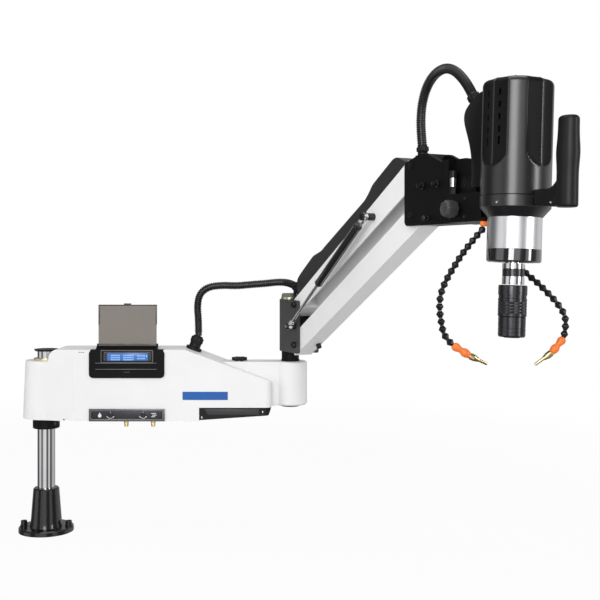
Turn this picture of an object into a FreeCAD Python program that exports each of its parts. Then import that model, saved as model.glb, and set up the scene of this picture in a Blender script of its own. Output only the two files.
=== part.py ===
"""An electric tapping machine on a swing arm, in millimetres.

The origin is the centre of the foot, on the bench. +Z is up, the first arm points along +X, and the
second arm is built along +X too and then swung about the elbow by elbow_swing.
"""
import math
import os

import FreeCAD
import Part
from FreeCAD import Vector

os.makedirs("parts", exist_ok=True)

# Clearances and the one overrun that all cuts share.
running_fit = 0.06
seat_gap = 0.3
glue_gap = 0.1
overrun = 2.0

# Foot and column.
foot_radius = 78.0
foot_height = 14.0
foot_edge = 3.0
cone_base_radius = 47.0
cone_foot_radius = 44.0
cone_foot_height = 26.0
cone_top_radius = 36.5
cone_top = 125.0
cone_rim = 3.0
foot_hole_radius = 6.5
foot_hole_circle = 64.5
foot_hole_count = 4
foot_screw_head_radius = 9.0
foot_screw_head_height = 12.0
foot_screw_washer_radius = 10.5
foot_screw_washer_height = 2.5
foot_screw_socket_radius = 5.0
foot_screw_socket_depth = 7.0
column_radius = 25.0
column_foot_wall = 8.0
column_top = 521.0
collar_radius = 38.0
collar_height = 30.0
collar_chamfer = 2.0
collar_slot = 2.5
ring_radius = 35.0
ring_height = 6.0
ring_recess = 1.5
cap_radius = 34.0
cap_height = 9.0
cap_crown = 3.5
cap_skirt = 6.0

# First arm: casting and bushes.
boss_bottom = 329.0
boss_bottom_radius = 65.0
boss_top = 492.5
boss_top_radius = 58.0
boss_inner_radius = 46.0
bush_wall = 5.0
bush_length = 40.0
arm_reach = 705.0
beam_bottom = 365.0
beam_top = 490.0
beam_depth_share = 0.45455
beam_wall = 7.0
elbow_boss_radius = 48.0
elbow_boss_chamfer = 4.0
elbow_shaft_radius = 22.0
elbow_bush_wall = 4.0
elbow_bush_length = 36.0
elbow_end_cap_radius = 27.5
elbow_end_cap_height = 5.0

# Control housing on the first arm.
housing_half_depth = 77.0
housing_rear_depth = 68.0
housing_top = 528.0
housing_bottom = 327.0
housing_wall = 4.0
housing_shoulder_x = 22.0
housing_shoulder_radius = 26.0
housing_flare_x = 95.0
housing_slope_share = 0.1911
housing_slope_foot = 437.5
housing_slope_round = 14.0
housing_setback = 53.0
housing_end_radius = 14.0
housing_end_bottom = 343.0
housing_step_share = 0.3242
housing_step_top = 365.0
housing_step_foot = 330.0
housing_corner_radius = 16.0
floor_thickness = 3.0
insert_inset = 7.0
insert_panel_shares = (0.07, 0.91)
insert_panel_recess = 2.0

# Control panel.
bezel_left = 139.5
bezel_right = 351.6
bezel_bottom = 448.6
bezel_corner = 12.0
bezel_proud = 3.0
bezel_recess_share = 0.619
console_top = 537.5
console_left = 158.0
console_right = 331.0
console_depth = 34.0
console_round = 4.5
window_left = 176.0
window_right = 317.0
window_top = 527.0
window_bottom = 494.0
window_frame = 4.0
display_thickness = 3.0
ledge_height = 4.0
ledge_place_shares = (0.86, 0.48)
ledge_proud = 3.0
latch_width = 18.0
latch_height = 5.0
latch_share = 0.28
lid_height = 112.0
lid_thickness = 2.5
lid_rim = 5.0
lid_rim_depth = 10.0
lid_tab_width = 20.0
lid_tab_depth = 4.0
lid_pin_radius = 2.0
lid_barrel_radius = 4.0
strip_left = 139.5
strip_right = 352.3
strip_bottom = 327.0
strip_top = 362.0
strip_frame = 7.0
strip_proud = 4.0
strip_recess = 2.5
strip_socket_shares = (0.285, 0.715)
fitting_places = (243.0, 318.7)
fitting_radius = 5.5
fitting_nut_radius = 8.0
fitting_length = 15.0
fitting_nut_length = 6.0
fitting_bore_radius = 3.0
fitting_setback = 10.0
plate_shares = (0.1701, 0.5935)
plate_bottom = 387.0
plate_top = 410.0
plate_thickness = 0.8
board_length = 180.0
board_height = 90.0
board_thickness = 1.6
board_standoff_share = 0.1905
board_block = 14.0
drive_length = 120.0
drive_height = 70.0
drive_depth = 16.0
drive_fin = 2.0
drive_fin_count = 9
drive_fin_height = 5.0

# Arm lock knob.
lock_share = 0.68708
lock_radius = 22.0
lock_height = 10.5
lock_lobes = 6
lock_lobe_radius = 5.0
lock_dish_radius = 13.0
lock_dish_depth = 4.0
lock_stem_radius = 5.0
lock_stem_length = 18.0

# Elbow: shaft, bracket, caps.
elbow_neck_radius = 25.0
elbow_disc_radius = 26.5
elbow_disc_height = 4.0
bracket_bottom = 520.0
lower_pivot_rise = 24.0
bracket_crest = 12.0
bracket_hub_radius = 31.0
bracket_reach = 112.0
bracket_plate_thickness = 8.0
bracket_corner = 16.0
bracket_web_reach = 44.0
elbow_ring_radius = 27.0
elbow_ring_height = 6.0
elbow_cap_radius = 25.0
elbow_cap_height = 11.0
elbow_cap_crown = 3.0

# Parallelogram arm.
elbow_swing = 63.0
link_length = 676.8
pivot_ahead = 95.0
pivot_spacing = 112.0
pivot_radius = 8.0
pin_head_radius = 8.5
pin_head_length = 9.0
pin_socket_radius = 3.5
link_half_width = 25.0
link_wall = 4.0
link_web = 5.0
upper_top_near = 21.7
upper_top_far = 24.3
upper_bottom_near = 23.3
upper_bottom_far = 36.7
lower_top_near = 35.4
lower_top_far = 25.9
lower_bottom_near = 20.5
lower_bottom_far = 33.8
link_nose_reach = 17.0
link_heel_reach = 9.0
link_near_overhang = 32.0
link_near_round = 9.0
link_far_shoulder = 14.0
link_hub_radius = 15.0
cover_wall = 2.0
cover_half_width = 20.0
cover_line = [
    (10.0, 41.0, 4.0), (24.0, 67.0, 20.0), (54.0, 71.0, 60.0), (140.0, 75.6, 60.0), (187.0, 64.0, 60.0),
    (208.0, 64.0, 60.0), (445.0, 57.0, 60.0), (467.0, 61.0, 40.0), (497.0, 70.0, 50.0),
    (605.0, 70.4, 36.0), (621.0, 64.0, 20.0), (643.0, 38.0, 6.0)]
buffer_radius = 7.0
buffer_height = 9.0
buffer_place = 46.0
buffer_side = 14.0
buffer_drop = 2.0

# Gas spring.
spring_offset = 51.0
spring_stud_rise = 52.0
spring_pin_along = 469.4
spring_pin_drop = 6.0
spring_pin_radius = 6.0
spring_pin_collar_radius = 9.0
spring_stud_radius = 5.0
spring_stud_head_radius = 8.0
spring_stud_head_length = 5.0
spring_eye_radius = 10.0
spring_eye_width = 10.0
spring_rod_radius = 4.5
spring_rod_length = 335.0
spring_tube_radius = 10.5
spring_tube_bore = 9.3
spring_tube_start = 38.0
spring_tube_length = 251.0
spring_neck_radius = 4.9

# Head bracket at the end of the second arm. Heights from here on are above head_base, the lower edge of
# the bracket's plates, and the head moves up and down with it.
head_base = 857.0
far_pivot_rise = 24.0
head_plate_behind = 25.0
head_plate_reach = 124.0
head_plate_top = 159.0
head_plate_shoulder = 16.0
head_plate_tail = 26.0
head_plate_thickness = 10.0
head_plate_corner = 12.0
head_plate_crown = 36.0
head_core_start = 45.0
head_block_half_width = 35.0
head_block_length = 23.8
head_block_top = 137.0
far_pin_head_radius = 6.5
far_pin_head_length = 3.0
head_roll_height = 71.0
head_roll = 2.0
head_roof_start = 5.0
head_roof_reach = 50.0
head_roof_thickness = 5.0
head_roof_clearance = 18.0
head_pivot_radius = 14.0
head_pivot_length = 24.0
head_screw_radius = 5.0
head_screw_places = ((53.0, 63.0), (109.0, 64.0), (71.0, -9.0))
head_screw_length = 16.0
head_gland_radius = 12.0

# Carrier between the roll flange and the tapping head.
carrier_half_width = 38.0
carrier_block_top = 60.0
carrier_shelf_setback = 45.0
carrier_shelf_thickness = 7.0
carrier_shelf_gap = 4.0
carrier_lobe_top = 137.0
carrier_lobe_near = -20.0
carrier_lobe_far = 30.0
carrier_lobe_reach = 76.0
carrier_lobe_round = 42.0
carrier_lobe_corner = 8.0
knob_place = 33.0
knob_height = 27.5
knob_radius = 18.5
knob_length = 32.0
knob_sides = 8
knob_stem_radius = 5.0
knob_stem_length = 8.0
plunger_radius = 7.3
plunger_place = 11.0
plunger_side = 32.0
plunger_barrel = 20.0
plunger_collar_radius = 8.6
plunger_collar = 15.5
plunger_nose_radius = 4.0
plunger_nose = 12.0

# Tapping head.
head_ahead = 326.07
cover_radius = 70.0
cover_bottom = 47.0
cover_top = 279.0
cover_dome_radius = 12.0
cover_shell = 3.0
flute_radius = 15.0
flute_depth = 4.5
flute_bottom = 111.0
flute_spread = 22.0
flute_count = 4
vent_sides = (0, 1, 3)
vent_rows = 5
vent_pitch = 24.5
vent_first = 246.0
vent_width = 5.5
vent_length = 11.0
motor_radius = 58.0
motor_top = 258.0
motor_shaft_radius = 9.0
collar_bottom = 25.0
head_collar_radius = 70.5
head_cone_bottom = 6.0
head_cone_radius = 54.0
gearbox_radius = 54.0
gearbox_bottom = -57.0
spindle_ring_radius = 54.0
spindle_ring_inner_radius = 40.0
spindle_ring_bottom = -83.0
spindle_ring_lip = 3.0
hump_half_width = 40.0
hump_reach = 120.0
hump_top = 261.0
hump_bottom = 68.0
hump_corner = 12.0
hump_crest = 24.0
hump_shoulder = 36.0
hump_draw = 42.0
hump_waist = 116.0
hump_sweep = 48.0
spindle_neck_radius = 17.0
spindle_radius = 22.0
spindle_groove_radius = 20.0
spindle_top = -85.0
spindle_groove_top = -95.0
spindle_groove_bottom = -111.0
spindle_bottom = -127.0
chuck_top = -128.0
chuck_bottom = -231.0
chuck_radius = 28.5
chuck_bore_radius = 9.5
chuck_bore_depth = 60.0
chuck_nose_radius = 27.0
sleeve_top = -154.0
sleeve_bottom = -190.0
sleeve_inner_radius = 23.5
sleeve_travel = 6.0
sleeve_groove_depth = 1.2
sleeve_groove_width = 2.0
sleeve_groove_shares = (0.3, 0.62)

# Handle.
handle_reach = 149.0
handle_half_width = 17.0
handle_half_depth = 22.0
handle_top = 187.0
handle_bottom = 20.0
handle_swell = 3.0
handle_swell_share = 0.42
handle_web_top = 57.0
handle_web_rise = 23.0
handle_web_half_width = 13.0
handle_round = 5.0
button_radius = 6.0
button_length = 10.0
button_proud = 3.0
button_drop = 26.0

# Modular coolant hoses.
hose_radius = 7.2
hose_pitch = 15.5
hose_gap = 0.9
hose_sides = 8
hose_width_shares = (0.7, 1.0, 0.62, 0.2)
hose_place_shares = (0.0, 0.45, 0.9, 1.0)
hose_base_radius = 9.0
hose_nozzle_radius = 7.0
hose_nozzle_length = 22.0
hose_tip_radius = 3.2
hose_bore_radius = 1.6
hose_ball_radius = 2.5
hose_ball_length = 2.5

# Corrugated conduits: radius, bore, pitch.
conduit_radius = 11.0
conduit_valley_radius = 9.6
conduit_bore_radius = 8.0
conduit_pitch = 26.0
conduit_gland_radius = 23.0
conduit_flange_height = 8.0
conduit_neck_radius = 16.5
conduit_seat = 1.6
conduit_nut_radius = 18.0
conduit_nut_height = 18.0
conduit_rib_shares = (0.2, 0.35, 0.75, 0.9)
conduit_bend_share = 0.45

# Derived places.
beam_half_depth = beam_depth_share * housing_half_depth
bezel_recess_depth = bezel_recess_share * (housing_half_depth - beam_half_depth)
board_standoff = board_standoff_share * (housing_half_depth - beam_half_depth)
housing_end = arm_reach - housing_setback
housing_tail = housing_end - bezel_right
housing_slope_start = bezel_right + housing_slope_share * housing_tail
housing_step_x = bezel_right + housing_step_share * housing_tail
lock_place = bezel_right + lock_share * housing_tail
plate_left, plate_right = [bezel_right + share * housing_tail for share in plate_shares]
lower_pivot_height = bracket_bottom + lower_pivot_rise
upper_pivot_height = lower_pivot_height + pivot_spacing
bracket_top = upper_pivot_height + bracket_crest
spring_stud_height = lower_pivot_height + spring_stud_rise
arm_rise = math.degrees(math.asin((head_base + far_pivot_rise - lower_pivot_height) / link_length))
far_pivot_ahead = pivot_ahead + link_length * math.cos(math.radians(arm_rise))
head_reach = far_pivot_ahead + head_ahead
print("arm rise", round(arm_rise, 3), "far pivot ahead", round(far_pivot_ahead, 2))


def export(name, *solids):
    """Writes one node: a single solid, or a group of separate ones."""
    shape = solids[0] if len(solids) == 1 else Part.makeCompound(list(solids))
    shape.exportStep("parts/" + name + ".step")
    print(name, len(shape.Solids), round(shape.Volume / 1000, 1), shape.isValid())


def cylinder(radius, height, base, axis=Vector(0, 0, 1)):
    return Part.makeCylinder(radius, height, base, axis)


def block(low, high):
    size = [high[k] - low[k] for k in range(3)]
    return Part.makeBox(size[0], size[1], size[2], Vector(*low))


def turned(profile, x=0.0, y=0.0):
    """Revolves a list of (radius, height) points about a vertical axis at x, y."""
    points = [Vector(r, 0, z) for r, z in profile]
    face = Part.Face(Part.makePolygon(points + [points[0]]))
    shape = face.revolve(Vector(0, 0, 0), Vector(0, 0, 1), 360)
    shape.translate(Vector(x, y, 0))
    return shape


def outline(corners, place):
    """A face from corners (u, v, radius), each rounded by a tangent arc, laid down by place(u, v)."""
    count = len(corners)
    starts, edges = [], []
    for index, (u, v, radius) in enumerate(corners):
        before = corners[index - 1]
        after = corners[(index + 1) % count]
        here = Vector(u, v, 0)
        back = (Vector(before[0], before[1], 0) - here).normalize()
        ahead = (Vector(after[0], after[1], 0) - here).normalize()
        if radius == 0:
            starts.append((here, here, here))
            continue
        half = back.getAngle(ahead) / 2
        reach = radius / math.tan(half)
        middle = here + (back + ahead).normalize() * (radius / math.sin(half) - radius)
        starts.append((here + back * reach, middle, here + ahead * reach))
    for index, (enter, middle, leave) in enumerate(starts):
        if not enter.isEqual(leave, Part.Precision.confusion()):
            arc = Part.Arc(*[place(p.x, p.y) for p in (enter, middle, leave)])
            edges.append(arc.toShape())
        following = starts[(index + 1) % count][0]
        if not leave.isEqual(following, Part.Precision.confusion()):
            edges.append(Part.LineSegment(place(leave.x, leave.y), place(following.x, following.y)).toShape())
    return Part.Face(Part.Wire(edges))


def side_prism(corners, low, high):
    """Extrudes an outline in X and Z from Y = low to Y = high."""
    face = outline(corners, lambda u, v: Vector(u, low, v))
    return face.extrude(Vector(0, high - low, 0))


def plan_prism(corners, low, high):
    """Extrudes an outline in X and Y from Z = low to Z = high."""
    face = outline(corners, lambda u, v: Vector(u, v, low))
    return face.extrude(Vector(0, 0, high - low))


def swung(shape):
    """Takes a piece of the second arm from its building place, along +X, to where it stands."""
    moved = shape.copy()
    moved.rotate(Vector(arm_reach, 0, 0), Vector(0, 0, 1), -elbow_swing)
    return moved


def along(distance, side, height):
    """A point of the second arm before it is swung: ahead of the elbow, to its left, and up."""
    return Vector(arm_reach + distance, side, height)


def hung(shape):
    """Lifts a piece that was built above head_base to its height and swings it with the arm."""
    moved = shape.copy()
    moved.translate(Vector(0, 0, head_base))
    return swung(moved)


def socket_screw(place, axis, radius, length, socket_radius, socket_depth):
    """A plain cylindrical head with a hexagon socket, standing on place along axis."""
    head = cylinder(radius, length, place, axis)
    side = axis.cross(Vector(0, 0, 1))
    if side.Length < 0.5:
        side = Vector(1, 0, 0)
    side.normalize()
    other = axis.cross(side)
    top = place + axis * (length - socket_depth)
    corners = []
    for step in range(6):
        turn = math.pi * step / 3
        corners.append(top + (side * math.cos(turn) + other * math.sin(turn)) * socket_radius)
    socket = Part.Face(Part.makePolygon(corners + [corners[0]]))
    return head.cut(socket.extrude(axis * (socket_depth + overrun)))


# Foot and column.

def make_foot():
    bore = column_radius + running_fit
    body = turned([
        (bore, column_foot_wall), (bore, cone_top), (cone_top_radius - cone_rim, cone_top),
        (cone_top_radius, cone_top - cone_rim), (cone_foot_radius, cone_foot_height),
        (cone_base_radius, foot_height), (foot_radius - foot_edge, foot_height),
        (foot_radius, foot_height - foot_edge), (foot_radius, 0), (0, 0), (0, column_foot_wall),
    ])
    for index in range(foot_hole_count):
        turn = 2 * math.pi * index / foot_hole_count
        place = Vector(foot_hole_circle * math.cos(turn), foot_hole_circle * math.sin(turn), -overrun)
        body = body.cut(cylinder(foot_hole_radius, foot_height + 2 * overrun, place))
    return body


def make_foot_screws():
    screws = []
    for side in (-1, 1):
        base = Vector(side * foot_hole_circle, 0, foot_height)
        shank = cylinder(foot_hole_radius - seat_gap, foot_height, Vector(base.x, 0, 0))
        washer = cylinder(foot_screw_washer_radius, foot_screw_washer_height, base)
        on_washer = base + Vector(0, 0, foot_screw_washer_height)
        head = socket_screw(
            on_washer, Vector(0, 0, 1), foot_screw_head_radius, foot_screw_head_height,
            foot_screw_socket_radius, foot_screw_socket_depth)
        screws.append(head.fuse(washer).fuse(shank).removeSplitter())
    return screws


def make_column():
    return turned([(0, column_foot_wall), (column_radius, column_foot_wall),
                   (column_radius, column_top), (0, column_top)])


def make_collar():
    top = housing_bottom - seat_gap
    bottom = top - collar_height
    bore = column_radius + running_fit
    ring = turned([
        (bore, bottom), (collar_radius - collar_chamfer, bottom), (collar_radius, bottom + collar_chamfer),
        (collar_radius, top - collar_chamfer), (collar_radius - collar_chamfer, top), (bore, top)])
    slot = block(
        (0, -collar_slot / 2, bottom - overrun), (collar_radius + overrun, collar_slot / 2, top + overrun))
    return ring.cut(slot)


def make_column_ring():
    bottom = boss_top + seat_gap
    bore = column_radius + running_fit
    return turned([(bore, bottom), (ring_radius, bottom), (ring_radius, bottom + ring_height),
                   (bore, bottom + ring_height)])


def make_column_cap():
    top = column_top + cap_height - cap_skirt
    skirt = top - cap_height
    bore = column_radius + running_fit
    return turned([
        (0, column_top), (bore, column_top), (bore, skirt + cap_crown),
        (cap_radius - cap_crown, skirt + cap_crown), (cap_radius, skirt + 2 * cap_crown), (cap_radius, top),
        (0, top)])


# First arm.

def make_arm_casting():
    boss = cylinder(boss_inner_radius, boss_top - boss_bottom - 2 * housing_wall,
                    Vector(0, 0, boss_bottom + housing_wall))
    beam = block((0, -beam_half_depth, beam_bottom), (arm_reach, beam_half_depth, beam_top))
    elbow = turned([
        (0, beam_bottom), (elbow_boss_radius - elbow_boss_chamfer, beam_bottom),
        (elbow_boss_radius, beam_bottom + elbow_boss_chamfer),
        (elbow_boss_radius, beam_top - elbow_boss_chamfer),
        (elbow_boss_radius - elbow_boss_chamfer, beam_top), (0, beam_top)], arm_reach)
    body = boss.fuse(beam).fuse(elbow)
    hollow = block(
        (boss_inner_radius, -beam_half_depth + beam_wall, beam_bottom + beam_wall),
        (arm_reach - elbow_boss_radius, beam_half_depth - beam_wall, beam_top - beam_wall))
    body = body.cut(hollow)
    body = body.cut(cylinder(column_radius + bush_wall, boss_top - boss_bottom, Vector(0, 0, boss_bottom)))
    bore = elbow_shaft_radius + elbow_bush_wall
    body = body.cut(cylinder(bore, beam_top - beam_bottom + 2 * overrun,
                             Vector(arm_reach, 0, beam_bottom - overrun)))
    stem = lock_stem_radius + running_fit
    under = beam_top - beam_wall - overrun
    body = body.cut(cylinder(stem, beam_wall + 2 * overrun, Vector(lock_place, 0, under)))
    return body.removeSplitter()


def make_bushes():
    low = boss_bottom + housing_wall
    high = boss_top - housing_wall - bush_length
    rings = []
    for base in (low, high):
        inner = column_radius + running_fit
        outer = column_radius + bush_wall
        top = base + bush_length
        rings.append(turned([(inner, base), (outer, base), (outer, top), (inner, top)]))
    for base in (beam_bottom, beam_top - elbow_bush_length):
        outer = elbow_shaft_radius + elbow_bush_wall
        inner = elbow_shaft_radius + running_fit
        top = base + elbow_bush_length
        rings.append(turned([(inner, base), (outer, base), (outer, top), (inner, top)], arm_reach))
    return rings


def housing_body(shrink):
    """The closed outer form of the housing, or its inside when shrink is the wall."""
    top = housing_top - shrink
    end = housing_end - shrink
    shoulder = boss_top - shrink
    left = -boss_bottom_radius - overrun
    form = side_prism([
        (left, boss_bottom + shrink, 0), (left, shoulder, 0), (housing_shoulder_x + shrink, shoulder, 0),
        (housing_shoulder_x + shrink, top, housing_shoulder_radius), (housing_slope_start - shrink, top, 0),
        (end, housing_slope_foot - shrink, housing_slope_round - shrink),
        (end, housing_step_top + shrink, 0), (housing_step_x - shrink, housing_step_top + shrink, 0),
        (housing_step_x - shrink, housing_bottom + shrink, 0),
        (boss_bottom_radius, housing_bottom + shrink, 0),
    ], -housing_half_depth - overrun, housing_half_depth + overrun)
    front = housing_half_depth - shrink
    rear = housing_rear_depth - shrink
    middle = (boss_top_radius + boss_bottom_radius) / 2
    prism = plan_prism([
        (0, -middle + shrink, 0), (housing_flare_x, -front, 0), (end, -front, housing_corner_radius),
        (end, rear, housing_corner_radius), (housing_flare_x, rear, 0), (0, middle - shrink, 0),
    ], housing_bottom, housing_top)
    drum = turned([
        (0, housing_bottom), (boss_bottom_radius - shrink, housing_bottom),
        (boss_bottom_radius - shrink, boss_bottom), (boss_top_radius - shrink, boss_top), (0, boss_top)])
    return form.common(prism.fuse(drum))


def make_housing():
    shell = housing_body(0).cut(housing_body(housing_wall))
    beam = block(
        (0, -beam_half_depth - seat_gap, beam_bottom - seat_gap),
        (arm_reach, beam_half_depth + seat_gap, beam_top + seat_gap))
    shell = shell.cut(beam)
    shell = shell.cut(cylinder(column_radius + bush_wall, housing_top, Vector(0, 0, 0)))
    shell = shell.cut(cylinder(ring_radius + ring_recess, housing_top, Vector(0, 0, boss_top)))
    floor = block(
        (boss_bottom_radius, -housing_half_depth + housing_wall, housing_bottom - overrun),
        (housing_step_x - housing_wall, housing_rear_depth - housing_wall,
         housing_bottom + housing_wall + overrun))
    shell = shell.cut(floor)
    panel = block(
        (bezel_left + bezel_proud, -housing_half_depth - overrun, bezel_bottom + bezel_proud),
        (bezel_right - bezel_proud, -housing_half_depth + bezel_recess_depth, housing_top + overrun))
    return shell.cut(panel)


def make_housing_floor():
    gap = seat_gap
    return block(
        (boss_bottom_radius + gap, -housing_half_depth + housing_wall + gap, housing_bottom),
        (housing_step_x - housing_wall - gap, housing_rear_depth - housing_wall - gap,
         housing_bottom + floor_thickness))


def make_end_insert():
    top = housing_step_top - seat_gap
    left = housing_step_x + seat_gap
    right = housing_end - housing_corner_radius
    body = side_prism([
        (left, housing_step_foot, 0), (left, top, 0), (housing_end, top, 0),
        (housing_end - insert_inset, housing_end_bottom, housing_end_radius / 2)],
        -housing_half_depth, housing_rear_depth)
    trim = plan_prism([
        (left - overrun, -housing_half_depth, 0), (housing_end, -housing_half_depth, housing_corner_radius),
        (housing_end, housing_rear_depth, housing_corner_radius), (left - overrun, housing_rear_depth, 0)],
        housing_bottom, housing_top)
    body = body.common(trim)
    span = right - left
    face = -housing_half_depth
    panel = block(
        (left + insert_panel_shares[0] * span, face - overrun, housing_end_bottom),
        (left + insert_panel_shares[1] * span, face + insert_panel_recess, top - insert_panel_recess))
    return body.cut(panel)


def make_bezel():
    face = -housing_half_depth
    back = face + bezel_recess_depth - seat_gap
    inset = bezel_proud + seat_gap
    frame = side_prism([
        (bezel_left, bezel_bottom, bezel_corner), (bezel_left, housing_top, bezel_corner),
        (bezel_right, housing_top, bezel_corner), (bezel_right, bezel_bottom, bezel_corner)],
        face - bezel_proud, face - seat_gap / 2)
    plug = block(
        (bezel_left + inset, face - seat_gap, bezel_bottom + inset), (bezel_right - inset, back, housing_top))
    slope = outline([
        (face - bezel_proud, window_bottom - window_frame, 0), (face - bezel_proud, housing_top, 0),
        (face + console_depth / 2, console_top, console_round), (back, console_top, 0),
        (back, window_bottom, 0)], lambda u, v: Vector(console_left, u, v))
    console = slope.extrude(Vector(console_right - console_left, 0, 0))
    body = frame.fuse(plug).fuse(console)
    window = block(
        (window_left, face - bezel_proud - overrun, window_bottom),
        (window_right, face + display_thickness + seat_gap, window_top))
    body = body.cut(window)
    height = window_bottom - bezel_bottom
    for share in ledge_place_shares:
        level = bezel_bottom + share * height
        body = body.fuse(block(
            (console_left, face - bezel_proud - ledge_proud, level),
            (console_right, face - bezel_proud, level + ledge_height)))
    level = bezel_bottom + latch_share * height
    middle = (bezel_left + bezel_right) / 2
    latch = block(
        (middle - latch_width / 2, face - bezel_proud - overrun, level),
        (middle + latch_width / 2, face - bezel_proud / 2, level + latch_height))
    body = body.cut(latch)
    lid_low, pin = lid_place()
    for end in (console_left, console_right - lid_barrel_radius):
        body = body.fuse(block((end, pin.y - lid_pin_radius, console_top - overrun),
                               (end + lid_barrel_radius, pin.y + lid_pin_radius, pin.z + lid_pin_radius)))
    rod = cylinder(lid_pin_radius, console_right - console_left, pin, Vector(1, 0, 0))
    return body.fuse(rod).removeSplitter()


def make_display():
    face = -housing_half_depth
    return block(
        (window_left + seat_gap, face, window_bottom + seat_gap),
        (window_right - seat_gap, face + display_thickness, window_top - seat_gap))


def lid_place():
    """The low edge of the lid and the centre of its hinge pin."""
    y = -housing_half_depth + console_depth / 2 + lid_barrel_radius
    pin = Vector(console_left, y, console_top + lid_barrel_radius + seat_gap)
    return pin.z, pin


def make_lid():
    low, pin = lid_place()
    left = console_left + lid_barrel_radius + seat_gap
    right = console_right - lid_barrel_radius - seat_gap
    top = low + lid_height
    sheet = block((left, pin.y - lid_thickness / 2, low), (right, pin.y + lid_thickness / 2, top))
    rim = block((left, pin.y, top - lid_rim), (right, pin.y + lid_rim_depth, top))
    sides = [
        block((edge, pin.y, low + lid_height / 2), (edge + lid_thickness, pin.y + lid_rim_depth, top))
        for edge in (left, right - lid_thickness)]
    middle = (left + right) / 2
    tab = block((middle - lid_tab_width / 2, pin.y - lid_thickness / 2, top - overrun),
                (middle + lid_tab_width / 2, pin.y + lid_thickness / 2, top + lid_tab_depth))
    barrel = cylinder(lid_barrel_radius, right - left, Vector(left, pin.y, pin.z), Vector(1, 0, 0))
    body = sheet.fuse(rim).fuse(sides[0]).fuse(sides[1]).fuse(tab).fuse(barrel)
    hole = cylinder(lid_pin_radius + running_fit, right - left + 2 * overrun,
                    Vector(left - overrun, pin.y, pin.z), Vector(1, 0, 0))
    return body.cut(hole).removeSplitter()


def make_valve_strip():
    face = -housing_half_depth
    front = face - strip_proud
    outer = [(strip_left, strip_bottom, 0), (strip_left, strip_top, 0), (strip_right, strip_top, 0),
             (strip_right, strip_bottom, 0)]
    body = side_prism(outer, front, face - seat_gap)
    recess = block(
        (strip_left + strip_frame, front - overrun, strip_bottom + strip_frame),
        (strip_right - strip_frame, front + strip_recess, strip_top - strip_frame))
    body = body.cut(recess)
    level = (strip_bottom + strip_top) / 2
    for share in strip_socket_shares:
        centre = Vector(strip_left + share * (strip_right - strip_left), front, level)
        body = body.fuse(cylinder(strip_frame, strip_recess, centre, Vector(0, 1, 0)))
    return body.removeSplitter()


def make_fittings():
    """Two brass screw-in couplings that stick down from the edge of the housing."""
    parts = []
    top = housing_bottom - seat_gap
    y = -housing_half_depth + fitting_setback
    for x in fitting_places:
        under_nut = top - fitting_nut_length
        body = turned([
            (fitting_bore_radius, top), (fitting_nut_radius, top), (fitting_nut_radius, under_nut),
            (fitting_radius, under_nut), (fitting_radius, top - fitting_length),
            (fitting_bore_radius, top - fitting_length)], x, y)
        parts.append(body)
    return parts


def make_rating_plate():
    face = -housing_half_depth - glue_gap
    return block((plate_left, face - plate_thickness, plate_bottom), (plate_right, face, plate_top))


def make_control_board():
    y = -housing_half_depth + bezel_recess_depth + board_standoff - seat_gap
    left = (bezel_left + bezel_right - board_length) / 2
    low = housing_top - housing_wall - board_height - board_standoff
    board = block((left, y, low), (left + board_length, y + board_thickness, low + board_height))
    for x in (left + board_block, left + board_length - 2 * board_block):
        board = board.fuse(block((x, y - board_standoff, low + board_height / 2),
                                 (x + board_block, y, low + board_height / 2 + board_block)))
    return board


def make_servo_drive():
    low = housing_bottom + floor_thickness
    left = (strip_left + strip_right - drive_length) / 2
    back = housing_rear_depth - 2 * housing_wall
    body = block((left, back - drive_depth, low), (left + drive_length, back, low + drive_height))
    pitch = drive_length / drive_fin_count
    for index in range(drive_fin_count):
        x = left + (index + 0.5) * pitch - drive_fin / 2
        body = body.fuse(block((x, back - drive_depth - drive_fin_height, low),
                               (x + drive_fin, back - drive_depth, low + drive_height)))
    return body.removeSplitter()


def make_arm_gland():
    """The first conduit's gland stands square on the slope and is cut level below the conduit."""
    x, y, top = arm_conduit_route[0]
    top = top - seat_gap
    tilt = math.atan2(housing_top - housing_slope_foot, housing_end - housing_slope_start)
    below = housing_top - (x - housing_slope_start) * math.tan(tilt)
    length = (top - below) * math.cos(tilt)
    out = Vector(math.sin(tilt), 0, math.cos(tilt))
    head = Vector(x, y, top)
    nut_foot = head - out * conduit_nut_height
    foot = head - out * length
    spare = conduit_nut_radius * math.tan(tilt) + overrun
    body = cylinder(conduit_nut_radius, conduit_nut_height + spare, nut_foot, out)
    body = body.fuse(cylinder(conduit_neck_radius, length - conduit_nut_height, foot, out))
    body = body.fuse(cylinder(conduit_gland_radius, conduit_flange_height + seat_gap, foot, out))
    body = body.cut(cylinder(conduit_bore_radius, length + spare + 2 * overrun, foot - out * overrun, out))
    reach = conduit_gland_radius + conduit_nut_radius
    body = body.cut(block((x - reach, y - reach, top), (x + reach, y + reach, top + reach)))
    lowered = housing_body(0)
    lowered.translate(Vector(0, 0, seat_gap))
    return body.cut(lowered).removeSplitter()


def make_lock_knob():
    base = Vector(lock_place, 0, beam_top + seat_gap)
    body = cylinder(lock_radius - lock_lobe_radius, lock_height, base)
    for index in range(lock_lobes):
        turn = 2 * math.pi * index / lock_lobes
        reach = lock_radius - lock_lobe_radius
        place = base + Vector(reach * math.cos(turn), reach * math.sin(turn), 0)
        body = body.fuse(cylinder(lock_lobe_radius, lock_height, place))
    dish = cylinder(lock_dish_radius, lock_dish_depth + overrun,
                    base + Vector(0, 0, lock_height - lock_dish_depth))
    stem = cylinder(lock_stem_radius, lock_stem_length + overrun, base - Vector(0, 0, lock_stem_length))
    return body.cut(dish).fuse(stem).removeSplitter()


# Elbow.

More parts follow.
